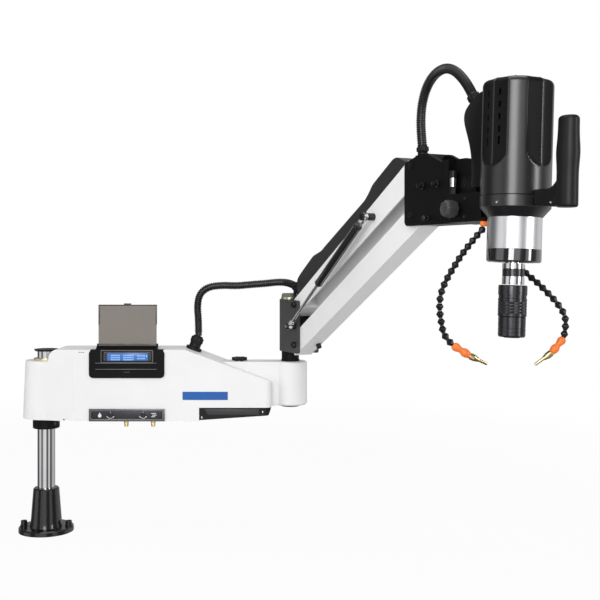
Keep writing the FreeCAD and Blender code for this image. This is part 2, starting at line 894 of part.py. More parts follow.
def make_elbow_shaft():
    disc = beam_top + seat_gap
    low = beam_bottom - seat_gap
    return turned([
        (0, low), (elbow_shaft_radius, low), (elbow_shaft_radius, disc), (elbow_disc_radius, disc),
        (elbow_disc_radius, disc + elbow_disc_height), (elbow_neck_radius, disc + elbow_disc_height),
        (elbow_neck_radius, bracket_bottom), (0, bracket_bottom)], arm_reach)


def make_elbow_end_cap():
    top = beam_bottom - seat_gap
    low = top - elbow_end_cap_height
    edge = elbow_end_cap_height / 2
    return turned([
        (0, top), (elbow_end_cap_radius, top), (elbow_end_cap_radius, top - edge),
        (elbow_end_cap_radius - edge, low), (0, low)], arm_reach)


def make_elbow_bracket():
    hub = cylinder(bracket_hub_radius, bracket_top - bracket_bottom, along(0, 0, bracket_bottom))
    inner = link_half_width + seat_gap
    outer = inner + bracket_plate_thickness
    web = block((arm_reach, -outer, bracket_bottom), (arm_reach + bracket_web_reach, outer, bracket_top))
    body = hub.fuse(web)
    for side in (-1, 1):
        low, high = sorted((side * inner, side * outer))
        plate = side_prism([
            (arm_reach, bracket_bottom, bracket_corner), (arm_reach, bracket_top, 0),
            (arm_reach + bracket_reach, bracket_top, bracket_corner / 2),
            (arm_reach + bracket_reach, bracket_bottom, bracket_corner / 2)], low, high)
        body = body.fuse(plate)
    for height in (lower_pivot_height, upper_pivot_height):
        hole = cylinder(pivot_radius + running_fit, 2 * outer + 2 * overrun,
                        along(pivot_ahead, -outer - overrun, height), Vector(0, 1, 0))
        body = body.cut(hole)
    stud = cylinder(spring_stud_radius + running_fit, bracket_plate_thickness + 2 * overrun,
                    along(pivot_ahead, -outer - overrun, spring_stud_height), Vector(0, 1, 0))
    return swung(body.cut(stud).removeSplitter())


def make_elbow_ring():
    top = bracket_top + elbow_ring_height
    return turned([
        (0, bracket_top), (elbow_ring_radius, bracket_top), (elbow_ring_radius, top), (0, top)], arm_reach)


def make_elbow_cap():
    base = bracket_top + elbow_ring_height
    top = base + elbow_cap_height
    return turned([(0, base), (elbow_cap_radius, base), (elbow_cap_radius, top - elbow_cap_crown),
                   (elbow_cap_radius - elbow_cap_crown, top), (0, top)], arm_reach)


def pivot_pin(distance, height, reach, radius, length):
    """A shoulder pin through a fork, with its socket head on the near side."""
    start = along(distance, -reach, height)
    shank = cylinder(pivot_radius, 2 * reach, start, Vector(0, 1, 0))
    head = socket_screw(start, Vector(0, -1, 0), radius, length, pin_socket_radius, length / 2)
    return shank.fuse(head).removeSplitter()


def make_elbow_pins():
    outer = link_half_width + seat_gap + bracket_plate_thickness
    return [swung(pivot_pin(pivot_ahead, height, outer, pin_head_radius, pin_head_length))
            for height in (lower_pivot_height, upper_pivot_height)]


def make_spring_stud():
    outer = link_half_width + seat_gap + bracket_plate_thickness
    end = spring_offset + spring_eye_width / 2 + seat_gap
    start = along(pivot_ahead, -outer + bracket_plate_thickness, spring_stud_height)
    shank = cylinder(spring_stud_radius, end - outer + bracket_plate_thickness, start, Vector(0, -1, 0))
    shoulder = cylinder(spring_stud_head_radius, spring_offset - spring_eye_width / 2 - seat_gap - outer,
                        along(pivot_ahead, -outer, spring_stud_height), Vector(0, -1, 0))
    head = cylinder(spring_stud_head_radius, spring_stud_head_length,
                    along(pivot_ahead, -end, spring_stud_height), Vector(0, -1, 0))
    return swung(shank.fuse(shoulder).fuse(head).removeSplitter())


# The two links of the parallelogram, built level along +X from their near pivot and then raised.

def raised(shape, pivot_height):
    """Turns a level link up to its angle and swings it with the arm."""
    moved = shape.copy()
    moved.translate(along(pivot_ahead, 0, pivot_height))
    moved.rotate(along(pivot_ahead, 0, pivot_height), Vector(0, -1, 0), arm_rise)
    return swung(moved)


def make_link(top_near, top_far, bottom_near, bottom_far, opens_down):
    """A tapered channel that runs on behind its near pivot and has a blunt nose at the far one."""
    start = -link_near_overhang
    end = link_length - link_far_shoulder
    side = [
        (start, -bottom_near, link_near_round), (start, top_near, link_near_round), (end, top_far, 0),
        (link_length + link_nose_reach, link_heel_reach, 0),
        (link_length + link_nose_reach, -link_hub_radius, 0),
        (link_length + link_heel_reach, -bottom_far, 0)]
    body = side_prism(side, -link_half_width, link_half_width)
    inner = link_half_width - link_wall
    lift = link_web if opens_down else -link_web
    hollow = side_prism([
        (2 * link_hub_radius, -bottom_near - lift, 0), (2 * link_hub_radius, top_near - lift, 0),
        (end - 2 * link_hub_radius, top_far - lift, 0), (end - 2 * link_hub_radius, -bottom_far - lift, 0)],
        -inner, inner)
    body = body.cut(hollow)
    for x in (0, link_length):
        hub = cylinder(link_hub_radius, 2 * link_half_width, Vector(x, -link_half_width, 0), Vector(0, 1, 0))
        body = body.fuse(hub)
    for x in (0, link_length):
        hole = cylinder(pivot_radius + running_fit, 2 * link_half_width + 2 * overrun,
                        Vector(x, -link_half_width - overrun, 0), Vector(0, 1, 0))
        body = body.cut(hole)
    return body


def make_upper_link():
    body = make_link(upper_top_near, upper_top_far, upper_bottom_near, upper_bottom_far, True)
    hole = cylinder(spring_pin_radius + running_fit, link_wall + 2 * overrun,
                    Vector(spring_pin_along, -link_half_width - overrun, -spring_pin_drop), Vector(0, 1, 0))
    return raised(body.cut(hole).removeSplitter(), upper_pivot_height)


def make_lower_link():
    body = make_link(lower_top_near, lower_top_far, lower_bottom_near, lower_bottom_far, False)
    return raised(body.removeSplitter(), lower_pivot_height)


def make_spring_pin():
    inner = link_half_width - link_wall
    end = spring_offset + spring_eye_width / 2 + seat_gap
    level = -spring_pin_drop
    out = Vector(0, -1, 0)
    shank = cylinder(spring_pin_radius, end - inner, Vector(spring_pin_along, -inner, level), out)
    near = spring_offset - spring_eye_width / 2 - seat_gap
    sleeve = cylinder(spring_pin_collar_radius, near - link_half_width,
                      Vector(spring_pin_along, -link_half_width, level), out)
    head = socket_screw(Vector(spring_pin_along, -end, level), out, spring_pin_collar_radius,
                        spring_stud_head_length, pin_socket_radius, spring_stud_head_length / 2)
    nut = cylinder(spring_pin_collar_radius, spring_stud_head_length,
                   Vector(spring_pin_along, -inner, level), -out)
    return raised(shank.fuse(sleeve).fuse(head).fuse(nut).removeSplitter(), upper_pivot_height)


def make_cable_cover():
    """A sheet metal trough over the cable, on top of the upper link and open below."""
    slope = (upper_top_far - upper_top_near) / (link_length - link_far_shoulder)
    foot = [(x, upper_top_near + slope * x + seat_gap) for x in (cover_line[0][0], cover_line[-1][0])]
    outer = [(*foot[0], 0)] + cover_line + [(*foot[1], 0)]
    shifts = [cover_wall, cover_wall] + [0] * (len(cover_line) - 4) + [-cover_wall, -cover_wall]
    inner = [(x + shift, height - cover_wall, radius)
             for (x, height, radius), shift in zip(cover_line, shifts)]
    inner = [(inner[0][0], foot[0][1] - overrun, 0)] + inner + [(inner[-1][0], foot[1][1] - overrun, 0)]
    hollow = side_prism(inner, cover_wall - cover_half_width, cover_half_width - cover_wall)
    shell = side_prism(outer, -cover_half_width, cover_half_width).cut(hollow)
    return raised(shell, upper_pivot_height)


def make_rest_buffer():
    share = (buffer_place + link_near_overhang) / (link_length + link_near_overhang + link_heel_reach)
    height = -lower_bottom_near - (lower_bottom_far - lower_bottom_near) * share
    body = cylinder(buffer_radius, buffer_height + buffer_drop,
                    Vector(buffer_place, buffer_side, height - buffer_height - buffer_drop - seat_gap))
    return raised(body, lower_pivot_height)


# Gas spring, built level from its lower stud and then turned into its line.

def spring_ends():
    """The lower stud and the upper pin, seen in the plane of the arm."""
    low = Vector(pivot_ahead, 0, spring_stud_height)
    rise = math.radians(arm_rise)
    drop = spring_pin_drop
    high = Vector(pivot_ahead + spring_pin_along * math.cos(rise) + drop * math.sin(rise), 0,
                  upper_pivot_height + spring_pin_along * math.sin(rise) - drop * math.cos(rise))
    return low, high


def spring_line(shape):
    low, high = spring_ends()
    angle = math.degrees(math.atan2(high.z - low.z, high.x - low.x))
    moved = shape.copy()
    moved.translate(along(low.x, -spring_offset, low.z))
    moved.rotate(along(low.x, -spring_offset, low.z), Vector(0, -1, 0), angle)
    return swung(moved)


def make_spring_rod():
    eye = cylinder(spring_eye_radius, spring_eye_width, Vector(0, -spring_eye_width / 2, 0), Vector(0, 1, 0))
    rod = cylinder(spring_rod_radius, spring_rod_length, Vector(0, 0, 0), Vector(1, 0, 0))
    socket = cylinder(spring_neck_radius, 2 * spring_eye_radius, Vector(0, 0, 0), Vector(1, 0, 0))
    body = eye.fuse(rod).fuse(socket)
    hole = cylinder(spring_stud_radius + running_fit, spring_eye_width + 2 * overrun,
                    Vector(0, -spring_eye_width / 2 - overrun, 0), Vector(0, 1, 0))
    return spring_line(body.cut(hole).removeSplitter())


def make_spring_tube():
    low, high = spring_ends()
    length = (high - low).Length
    eye = cylinder(spring_eye_radius, spring_eye_width,
                   Vector(length, -spring_eye_width / 2, 0), Vector(0, 1, 0))
    neck = cylinder(spring_neck_radius, spring_tube_start + overrun, Vector(length, 0, 0), Vector(-1, 0, 0))
    start = length - spring_tube_start
    tube = cylinder(spring_tube_radius, spring_tube_length, Vector(start, 0, 0), Vector(-1, 0, 0))
    body = eye.fuse(neck).fuse(tube)
    bore = cylinder(spring_tube_bore, spring_tube_length,
                    Vector(start - spring_neck_radius, 0, 0), Vector(-1, 0, 0))
    hole = cylinder(spring_pin_radius + running_fit, spring_eye_width + 2 * overrun,
                    Vector(length, -spring_eye_width / 2 - overrun, 0), Vector(0, 1, 0))
    return spring_line(body.cut(bore).cut(hole).removeSplitter())


# Head bracket.

def make_bracket_plates():
    ahead, height = far_pivot_ahead, far_pivot_rise
    left = arm_reach + ahead - head_plate_behind
    right = arm_reach + ahead + head_plate_reach
    inner = link_half_width + seat_gap
    outer = inner + head_plate_thickness
    plates = []
    for side in (-1, 1):
        low, high = sorted((side * inner, side * outer))
        middle = (left + right) / 2
        plate = side_prism([
            (left, 0, head_plate_corner),
            (left, head_plate_top - head_plate_shoulder, head_plate_corner),
            (middle - head_plate_corner, head_plate_top, head_plate_crown),
            (middle + head_plate_corner, head_plate_top, head_plate_crown),
            (right, head_plate_top - head_plate_tail, head_plate_corner),
            (right, 0, 0)], low, high)
        for pivot in (height, height + pivot_spacing):
            plate = plate.cut(cylinder(pivot_radius + running_fit, head_plate_thickness + 2 * overrun,
                                       along(ahead, low - overrun, pivot), Vector(0, 1, 0)))
        plates.append(hung(plate))
    return plates


def make_bracket_core():
    ahead, height = far_pivot_ahead, far_pivot_rise
    inner = link_half_width + seat_gap - glue_gap
    left = arm_reach + ahead + head_core_start
    right = arm_reach + ahead + head_plate_reach
    end = right + head_block_length
    roof = height + pivot_spacing + head_roof_clearance
    roof_left = arm_reach + ahead + head_roof_start
    body = block((left, -inner, 0), (right + overrun, inner, head_block_top))
    roof_right = roof_left + head_roof_reach
    stem = block((left, -inner, head_block_top - overrun), (roof_right, inner, roof + overrun))
    cover = block((roof_left, -inner, roof), (roof_right, inner, roof + head_roof_thickness))
    wide = block((right + seat_gap, -head_block_half_width, 0), (end, head_block_half_width, head_block_top))
    spigot = cylinder(head_pivot_radius, head_pivot_length, Vector(end, 0, head_roll_height), Vector(1, 0, 0))
    return hung(body.fuse(stem).fuse(cover).fuse(wide).fuse(spigot).removeSplitter())


def make_bracket_pins():
    ahead, height = far_pivot_ahead, far_pivot_rise
    outer = link_half_width + seat_gap + head_plate_thickness
    return [hung(pivot_pin(ahead, height + rise, outer, far_pin_head_radius, far_pin_head_length))
            for rise in (0, pivot_spacing)]


def make_bracket_screws():
    """Two long adjusting screws and a ball-headed one on the near plate."""
    ahead, height = far_pivot_ahead, far_pivot_rise
    outer = link_half_width + seat_gap + head_plate_thickness
    screws = []
    for distance, level in head_screw_places:
        place = along(ahead + distance, -outer, height + level)
        screws.append(hung(socket_screw(place, Vector(0, -1, 0), head_screw_radius, head_screw_length,
                                        head_screw_radius / 2, head_screw_length / 4)))
    return screws


def make_bracket_gland():
    roof = far_pivot_rise + pivot_spacing + head_roof_clearance + head_roof_thickness
    ahead, side, rise = head_conduit_route[0]
    base = along(far_pivot_ahead + ahead, side, roof)
    tall = rise - conduit_seat
    body = cylinder(head_gland_radius, tall, base)
    return hung(body.cut(cylinder(conduit_bore_radius, tall + 2 * overrun, base - Vector(0, 0, overrun))))


def carrier_face():
    """Distance ahead of the elbow at which the carrier starts, beyond the roll joint."""
    return far_pivot_ahead + head_plate_reach + head_block_length + seat_gap


def make_carrier():
    face = arm_reach + carrier_face()
    end = arm_reach + head_reach - cover_radius / 2
    half = carrier_half_width
    arm = block((face, -half, 0), (end, half, carrier_block_top))
    lobe_end = face + carrier_lobe_reach
    lobe = side_prism([
        (face, carrier_block_top - overrun, 0), (face, carrier_lobe_top, carrier_lobe_corner),
        (lobe_end, carrier_lobe_top, carrier_lobe_round), (lobe_end, carrier_block_top - overrun, 0)],
        carrier_lobe_near, carrier_lobe_far)
    body = arm.fuse(lobe)
    head = cylinder(head_collar_radius + seat_gap, head_plate_top,
                    Vector(arm_reach + head_reach, 0, -overrun))
    body = body.cut(head)
    shelf = block((face, -half, 0),
                  (arm_reach + head_reach - carrier_shelf_setback, half, carrier_shelf_thickness))
    shelf = shelf.cut(cylinder(gearbox_radius + carrier_shelf_gap, head_plate_top,
                               Vector(arm_reach + head_reach, 0, -overrun)))
    body = body.fuse(shelf)
    pivot = cylinder(head_pivot_radius + running_fit, head_pivot_length + 2 * overrun,
                     Vector(face - overrun, 0, head_roll_height), Vector(1, 0, 0))
    body = body.cut(pivot)
    stem = cylinder(knob_stem_radius + running_fit, knob_stem_length + overrun,
                    Vector(face + knob_place, -half - overrun, knob_height), Vector(0, 1, 0))
    body = body.cut(stem)
    nose = cylinder(plunger_nose_radius + running_fit, plunger_nose + overrun,
                    Vector(face + plunger_place, -plunger_side, carrier_block_top - plunger_nose))
    return leaned(body.cut(nose).removeSplitter())


def leaned(shape):
    """Rolls a piece beyond the roll joint by the small angle at which the head stands, then swings it."""
    moved = shape.copy()
    moved.rotate(Vector(arm_reach, 0, head_roll_height), Vector(-1, 0, 0), head_roll)
    return hung(moved)


def make_tilt_knob():
    centre = along(carrier_face() + knob_place, -carrier_half_width - seat_gap, knob_height)
    corners = []
    for step in range(knob_sides):
        turn = 2 * math.pi * (step + 0.5) / knob_sides
        corners.append(centre + Vector(knob_radius * math.cos(turn), 0, knob_radius * math.sin(turn)))
    face = Part.Face(Part.makePolygon(corners + [corners[0]]))
    body = face.extrude(Vector(0, -knob_length, 0))
    stem = cylinder(knob_stem_radius, knob_stem_length, centre, Vector(0, 1, 0))
    return leaned(body.fuse(stem).removeSplitter())


def make_index_plunger():
    base = along(carrier_face() + plunger_place, -plunger_side, carrier_block_top + seat_gap)
    top = carrier_block_top + seat_gap + plunger_collar + plunger_barrel
    nose = cylinder(plunger_nose_radius, plunger_nose, base - Vector(0, 0, plunger_nose))
    low = cylinder(plunger_collar_radius, plunger_collar, base)
    barrel = cylinder(plunger_radius, plunger_barrel, base + Vector(0, 0, plunger_collar))
    high = cylinder(plunger_collar_radius, plunger_collar, Vector(base.x, base.y, top))
    return leaned(nose.fuse(low).fuse(barrel).fuse(high).removeSplitter())


# Tapping head, built upright on its spindle axis.

def on_head(shape):
    moved = shape.copy()
    moved.translate(along(head_reach, 0, 0))
    return leaned(moved)


def flute_cutter(turn):
    """Two round grooves side by side that end in a half round foot."""
    parts = []
    for side in (-1, 1):
        angle = turn + side * math.radians(flute_spread) / 2
        reach = cover_radius + flute_radius - flute_depth
        place = Vector(reach * math.cos(angle), reach * math.sin(angle), flute_bottom)
        groove = cylinder(flute_radius, cover_top, place)
        foot = Part.makeSphere(flute_radius, place)
        parts.append(groove.fuse(foot))
    return parts[0].fuse(parts[1])


def make_motor_cover():
    dome = cover_dome_radius
    outer = turned([
        (0, cover_bottom), (cover_radius, cover_bottom), (cover_radius, cover_top - dome),
        (cover_radius - dome / 3, cover_top - dome / 3), (cover_radius - dome, cover_top), (0, cover_top)])
    for index in range(flute_count):
        outer = outer.cut(flute_cutter(2 * math.pi * index / flute_count))
    inner_radius = motor_radius + seat_gap
    inner = cylinder(inner_radius, cover_top - cover_bottom - 2 * cover_shell,
                     Vector(0, 0, cover_bottom - overrun))
    body = outer.cut(inner)
    for index in vent_sides:
        for side in (-1, 1):
            angle = math.degrees(2 * math.pi * index / flute_count)
            for row in range(vent_rows):
                level = vent_first - row * vent_pitch
                slot = block((motor_radius - overrun, -vent_width / 2, level - vent_length / 2),
                             (cover_radius + overrun, vent_width / 2, level + vent_length / 2))
                slot.rotate(Vector(0, 0, 0), Vector(0, 0, 1), angle + side * flute_spread / 2)
                body = body.cut(slot)
    return on_head(body.removeSplitter())


def make_motor():
    base = cover_bottom + seat_gap
    return on_head(turned([(0, base), (motor_radius, base), (motor_radius, motor_top), (0, motor_top)]))


def make_rear_cover():
    """The plug cover on the back of the motor cover, drawn in towards its foot."""
    centre = arm_reach + head_reach
    rear = centre - hump_reach
    foot = rear + hump_draw
    body = side_prism([
        (centre - cover_radius / 2, hump_bottom, 0), (foot, hump_bottom, 0), (foot, hump_waist, hump_sweep),
        (rear, hump_top - hump_shoulder, hump_corner),
        (rear + hump_corner, hump_top - hump_crest, hump_corner),
        (centre - cover_radius + hump_corner, hump_top, 0), (centre - cover_radius / 2, hump_top, 0)],
        -hump_half_width, hump_half_width)
    body = body.cut(cylinder(cover_radius + seat_gap, cover_top, Vector(centre, 0, hump_bottom - overrun)))
    room = block((arm_reach + carrier_face() - overrun, -carrier_half_width - seat_gap, 0),
                 (centre, carrier_half_width + seat_gap, carrier_block_top + seat_gap))
    lobe = block((arm_reach + carrier_face() - overrun, carrier_lobe_near - seat_gap, 0),
                 (arm_reach + carrier_face() + carrier_lobe_reach + seat_gap, carrier_lobe_far + seat_gap,
                  carrier_lobe_top + seat_gap))
    return leaned(body.cut(room).cut(lobe))


def make_head_collar():
    bore = motor_shaft_radius
    return on_head(turned([
        (bore, cover_bottom), (head_collar_radius, cover_bottom), (head_collar_radius, collar_bottom),
        (head_cone_radius, head_cone_bottom), (bore, head_cone_bottom)]))


def make_gearbox():
    bore = spindle_neck_radius + running_fit
    return on_head(turned([
        (bore, gearbox_bottom), (gearbox_radius, gearbox_bottom), (gearbox_radius, head_cone_bottom),
        (motor_shaft_radius, head_cone_bottom), (motor_shaft_radius, head_cone_bottom - spindle_ring_lip),
        (bore, head_cone_bottom - spindle_ring_lip)]))


def make_spindle_ring():
    top = gearbox_bottom
    return on_head(turned([
        (spindle_ring_inner_radius, spindle_ring_bottom),
        (spindle_ring_radius - spindle_ring_lip, spindle_ring_bottom),
        (spindle_ring_radius, spindle_ring_bottom + spindle_ring_lip), (spindle_ring_radius, top),
        (spindle_neck_radius + seat_gap, top), (spindle_neck_radius + seat_gap, top - spindle_ring_lip),
        (spindle_ring_inner_radius, top - 2 * spindle_ring_lip)]))


def make_spindle():
    top = head_cone_bottom - spindle_ring_lip - seat_gap
    return on_head(turned([
        (0, top), (spindle_neck_radius, top), (spindle_neck_radius, spindle_top),
        (spindle_radius, spindle_top),
        (spindle_radius, spindle_groove_top), (spindle_groove_radius, spindle_groove_top),
        (spindle_groove_radius, spindle_groove_bottom), (spindle_radius, spindle_groove_bottom),
        (spindle_radius, spindle_bottom), (0, spindle_bottom)]))


def make_chuck():
    inner = sleeve_inner_radius - running_fit
    return on_head(turned([
        (0, chuck_top), (chuck_radius, chuck_top), (chuck_radius, sleeve_top + sleeve_travel + seat_gap),
        (inner, sleeve_top + sleeve_travel + seat_gap), (inner, sleeve_bottom - seat_gap),
        (chuck_nose_radius, sleeve_bottom - seat_gap), (chuck_nose_radius, chuck_bottom),
        (chuck_bore_radius, chuck_bottom), (chuck_bore_radius, chuck_bottom + chuck_bore_depth),
        (0, chuck_bottom + chuck_bore_depth)]))


def make_chuck_sleeve():
    groove = chuck_radius - sleeve_groove_depth
    profile = [(sleeve_inner_radius, sleeve_bottom), (chuck_radius, sleeve_bottom)]
    for share in sleeve_groove_shares:
        level = sleeve_bottom + share * (sleeve_top - sleeve_bottom)
        profile += [(chuck_radius, level), (groove, level), (groove, level + sleeve_groove_width),
                    (chuck_radius, level + sleeve_groove_width)]
    profile += [(chuck_radius, sleeve_top), (sleeve_inner_radius, sleeve_top)]
    return on_head(turned(profile))


# Handle in front of the head.

def make_handle():
    levels = [0, handle_swell_share / 2, handle_swell_share, (1 + handle_swell_share) / 2, 1]
    swells = [0, -handle_swell / 2, handle_swell, 0, 0]
    wires = []
    for share, swell in zip(levels, swells):
        z = handle_bottom + share * (handle_top - handle_bottom)
        ring = Part.Ellipse(
            Vector(handle_reach, 0, z), handle_half_depth + swell, handle_half_width + swell / 2)
        wires.append(Part.Wire([ring.toShape()]))
    grip = Part.makeLoft(wires, True, True)
    start = head_collar_radius - handle_round
    web = side_prism([
        (start, collar_bottom + handle_round / 2, 0), (start, handle_web_top, 0),
        (handle_reach - handle_half_depth, handle_web_top, handle_web_rise / 2),
        (handle_reach - handle_half_depth / 2, handle_web_top + handle_web_rise, 0),
        (handle_reach, handle_web_top + handle_web_rise, 0), (handle_reach, handle_bottom, 0),
        (handle_reach - handle_half_depth, handle_bottom, 0)],
        -handle_web_half_width, handle_web_half_width)
    body = grip.fuse(web)
    body = body.cut(cylinder(head_collar_radius + seat_gap, cover_top, Vector(0, 0, head_cone_bottom)))
    button = Vector(handle_reach, handle_half_width - button_length, handle_top - button_drop)
    bore = cylinder(button_radius + running_fit, button_length + overrun, button, Vector(0, 1, 0))
    return on_head(body.cut(bore))


def make_handle_button():
    base = Vector(handle_reach, handle_half_width - button_length + button_proud, handle_top - button_drop)
    return on_head(cylinder(button_radius, button_length, base, Vector(0, 1, 0)))


# Coolant hoses: ball and socket segments along a chosen line, measured from the spindle's axis.

left_hose_route = [
    (-58.3, -29.8, -13.1), (-60.6, -38.4, -22.4), (-65.3, -57.7, -46.1), (-70.8, -76.4, -71.8),
    (-75.4, -91.2, -97.3), (-80.0, -105.9, -123.8), (-83.2, -115.6, -151.2), (-83.2, -116.8, -181.2),
    (-80.5, -112.6, -211.1), (-76.9, -106.9, -236.9), (-68.3, -91.6, -252.4), (-51.5, -62.4, -272.4)]
left_hose_tip = (-34.1, -32.0, -287.7)
right_hose_route = [
    (-58.3, 36.4, -10.8), (-60.0, 45.0, -39.5), (-55.5, 55.1, -75.2), (-40.7, 63.1, -101.9),
    (-19.1, 75.2, -119.5), (0.2, 87.4, -140.1), (16.0, 101.5, -161.6), (27.7, 112.1, -185.2),
    (30.8, 112.4, -208.2), (30.7, 106.5, -231.5), (22.1, 83.9, -261.3)]
right_hose_tip = (9.5, 53.5, -285.7)


def hose_segment(start, end):
    """One element: a wide faceted socket that narrows to the ball that the next socket holds."""
    axis = end - start
    length = axis.Length - hose_gap
    rings = []
    for width, place in zip(hose_width_shares, hose_place_shares):
        corners = []
        for step in range(hose_sides):
            turn = 2 * math.pi * step / hose_sides
            radius = width * hose_radius
            corners.append(Vector(radius * math.cos(turn), radius * math.sin(turn), place * length))
        rings.append(Part.makePolygon(corners + [corners[0]]))
    return standing(Part.makeLoft(rings, True, True), start, axis)


def standing(shape, base, axis):
    """Moves a piece that was made along +Z at the origin to its base and axis."""
    shape.Placement = FreeCAD.Placement(base, FreeCAD.Rotation(Vector(0, 0, 1), axis))
    return shape


def make_hose(route):
    """An orange foot, the black elements and an orange connector, each its own solid."""
    points = [Vector(*p) for p in route]
    curve = Part.BSplineCurve()
    curve.interpolate(points[:-1])
    free = curve.toShape()
    count = int(free.Length / hose_pitch)
    places = free.discretize(count + 1)
    tilt = (places[1] - places[0]).getAngle(Vector(0, 0, -1))
    lift = hose_width_shares[0] * hose_radius * math.sin(tilt) + seat_gap
    foot = cylinder(hose_base_radius, -seat_gap - lift - places[0].z, places[0] + Vector(0, 0, lift))
    elements = [hose_segment(a, b) for a, b in zip(places, places[1:])]
    axis = points[-1] - points[-2]
    end = axis.Length - hose_ball_length
    connector = standing(turned([
        (0, 0), (hose_radius, 0), (hose_base_radius, end / 2), (hose_radius, end), (hose_ball_radius, end),
        (hose_ball_radius, axis.Length - hose_gap), (0, axis.Length - hose_gap)]), points[-2], axis)
    return [on_head(piece) for piece in [foot] + elements + [connector]]


def make_nozzle(route, tip):
    start = Vector(*route[-1])
    axis = Vector(*tip) - start
    full = axis.Length
    nozzle = turned([
        (hose_bore_radius, 0), (hose_nozzle_radius, 0), (hose_nozzle_radius, hose_nozzle_length / 2),
        (hose_tip_radius, hose_nozzle_length), (hose_tip_radius, full), (hose_bore_radius, full)])
    return on_head(standing(nozzle, start, axis))


# Corrugated conduits: a ruled loft through four circles for each rib, along straight runs and arcs.

arm_conduit_steady = Vector(0.45, 0.89, 0)
arm_conduit_route = [
    (440.0, 0.0, 562.0), (440.0, 0.0, 606.0), (436.0, 0.0, 646.0), (442.0, 0.0, 682.0), (467.0, 0.0, 703.0),
    (508.0, 0.0, 708.0), (550.0, 0.0, 706.0), (592.0, 0.0, 710.0), (634.0, 0.0, 713.0), (668.0, 0.0, 717.0),
    (696.0, -4.0, 716.0), (718.0, -22.0, 708.0), (734.0, -48.0, 697.0)]
head_conduit_steady = Vector(0, 1, 0)
head_conduit_route = [
    (16.1, -12.0, 7.0), (10.1, -12.0, 44.0), (7.1, -12.0, 82.0), (13.1, -12.0, 120.0), (31.1, -12.0, 154.0),
    (62.1, -12.0, 177.0), (102.1, -12.0, 184.0), (138.1, -12.0, 172.0), (168.1, -12.0, 149.0),
    (193.1, -12.0, 122.0), (211.1, -12.0, 96.0)]


def over_bracket(ahead, side, rise):
    """A point of the head conduit: ahead of the far pivots, to the left, and above the bracket's roof."""
    roof = far_pivot_rise + pivot_spacing + head_roof_clearance + head_roof_thickness
    return along(far_pivot_ahead + ahead, side, roof + rise)


def conduit_path(route, place):
    """Straight runs joined by tangent arcs, each as large as its two runs allow."""
    points = [place(*p) for p in route]
    edges, radii = [], []
    last = points[0]
    for before, here, after in zip(points, points[1:], points[2:]):
        back = before - here
        ahead = after - here
        turn = math.pi - back.getAngle(ahead)
        radius = conduit_bend_share * min(back.Length, ahead.Length) / math.tan(turn / 2)
        reach = radius * math.tan(turn / 2)
        back.normalize()
        ahead.normalize()
        enter = here + back * reach
        leave = here + ahead * reach
        middle = here + (back + ahead).normalize() * (radius / math.cos(turn / 2) - radius)
        edges.append(Part.LineSegment(last, enter).toShape())
        edges.append(Part.Arc(enter, middle, leave).toShape())
        radii.append(round(radius, 1))
        last = leave
    edges.append(Part.LineSegment(last, points[-1]).toShape())
    return Part.Wire(edges), radii


def rings_loft(edges, stations, steady):
    """A ruled loft through one circle for each distance and radius, all turned to the same side."""
    sections = []
    for distance, radius in stations:
        point, tangent = point_on(edges, distance)
        circle = Part.Circle(point, tangent, radius)
        circle.XAxis = steady - tangent * steady.dot(tangent)
        sections.append(Part.Wire([circle.toShape()]))
    return Part.makeLoft(sections, True, True)


def make_conduit(name, route, place, steady):
    wire, radii = conduit_path(route, place)
    length = wire.Length
    lead = 2 * conduit_radius
    ribs = int((length - 2 * lead) / conduit_pitch)
    stations = [(0.0, conduit_valley_radius), (lead, conduit_valley_radius)]
    pitch = (length - 2 * lead) / ribs
    for rib in range(ribs):
        valley, rise, crest, fall = [lead + (rib + share) * pitch for share in conduit_rib_shares]
        stations += [(valley, conduit_valley_radius), (rise, conduit_radius),
                     (crest, conduit_radius), (fall, conduit_valley_radius)]
    stations += [(length, conduit_valley_radius)]
    edges = wire.OrderedEdges
    bore = [(distance, conduit_bore_radius) for distance, radius in stations[::2]]
    body = rings_loft(edges, stations, steady).cut(rings_loft(edges, bore, steady))
    print(name, "length", round(length), "ribs", ribs, "radii", radii, "volume", round(body.Volume),
          "section times length", round(math.pi * (conduit_radius ** 2 - conduit_bore_radius ** 2) * length))
    return body


def point_on(edges, distance):
    """The point and direction at a distance along a list of edges."""
    left = distance
    for edge in edges:
        if left <= edge.Length + Part.Precision.confusion():
            at = edge.getParameterByLength(min(left, edge.Length))
            return edge.valueAt(at), edge.tangentAt(at)
        left -= edge.Length
    return edges[-1].valueAt(edges[-1].LastParameter), edges[-1].tangentAt(edges[-1].LastParameter)


export("base_flange", make_foot())
export("flange_screws", *make_foot_screws())
export("column", make_column())
export("column_collar", make_collar())
export("column_ring", make_column_ring())
export("column_cap", make_column_cap())
export("arm_casting", make_arm_casting())
export("arm_bushes", *make_bushes())
export("control_housing", make_housing())
export("housing_floor", make_housing_floor())
export("end_insert", make_end_insert())
export("control_bezel", make_bezel())
export("display_panel", make_display())
export("display_lid", make_lid())
export("valve_strip", make_valve_strip())
export("panel_fittings", *make_fittings())
export("rating_plate", make_rating_plate())
export("arm_gland", make_arm_gland())
export("control_board", make_control_board())
export("servo_drive", make_servo_drive())
export("arm_lock_knob", make_lock_knob())
export("elbow_end_cap", make_elbow_end_cap())
export("elbow_shaft", make_elbow_shaft())
export("elbow_bracket", make_elbow_bracket())
export("elbow_ring", make_elbow_ring())
export("elbow_cap", make_elbow_cap())
export("elbow_pins", *make_elbow_pins())
export("spring_stud", make_spring_stud())
export("upper_link", make_upper_link())
export("lower_link", make_lower_link())
export("cable_cover", make_cable_cover())
export("spring_pin", make_spring_pin())
export("rest_buffer", make_rest_buffer())
export("gas_spring_rod", make_spring_rod())
export("gas_spring_tube", make_spring_tube())
export("bracket_plates", *make_bracket_plates())
export("bracket_core", make_bracket_core())
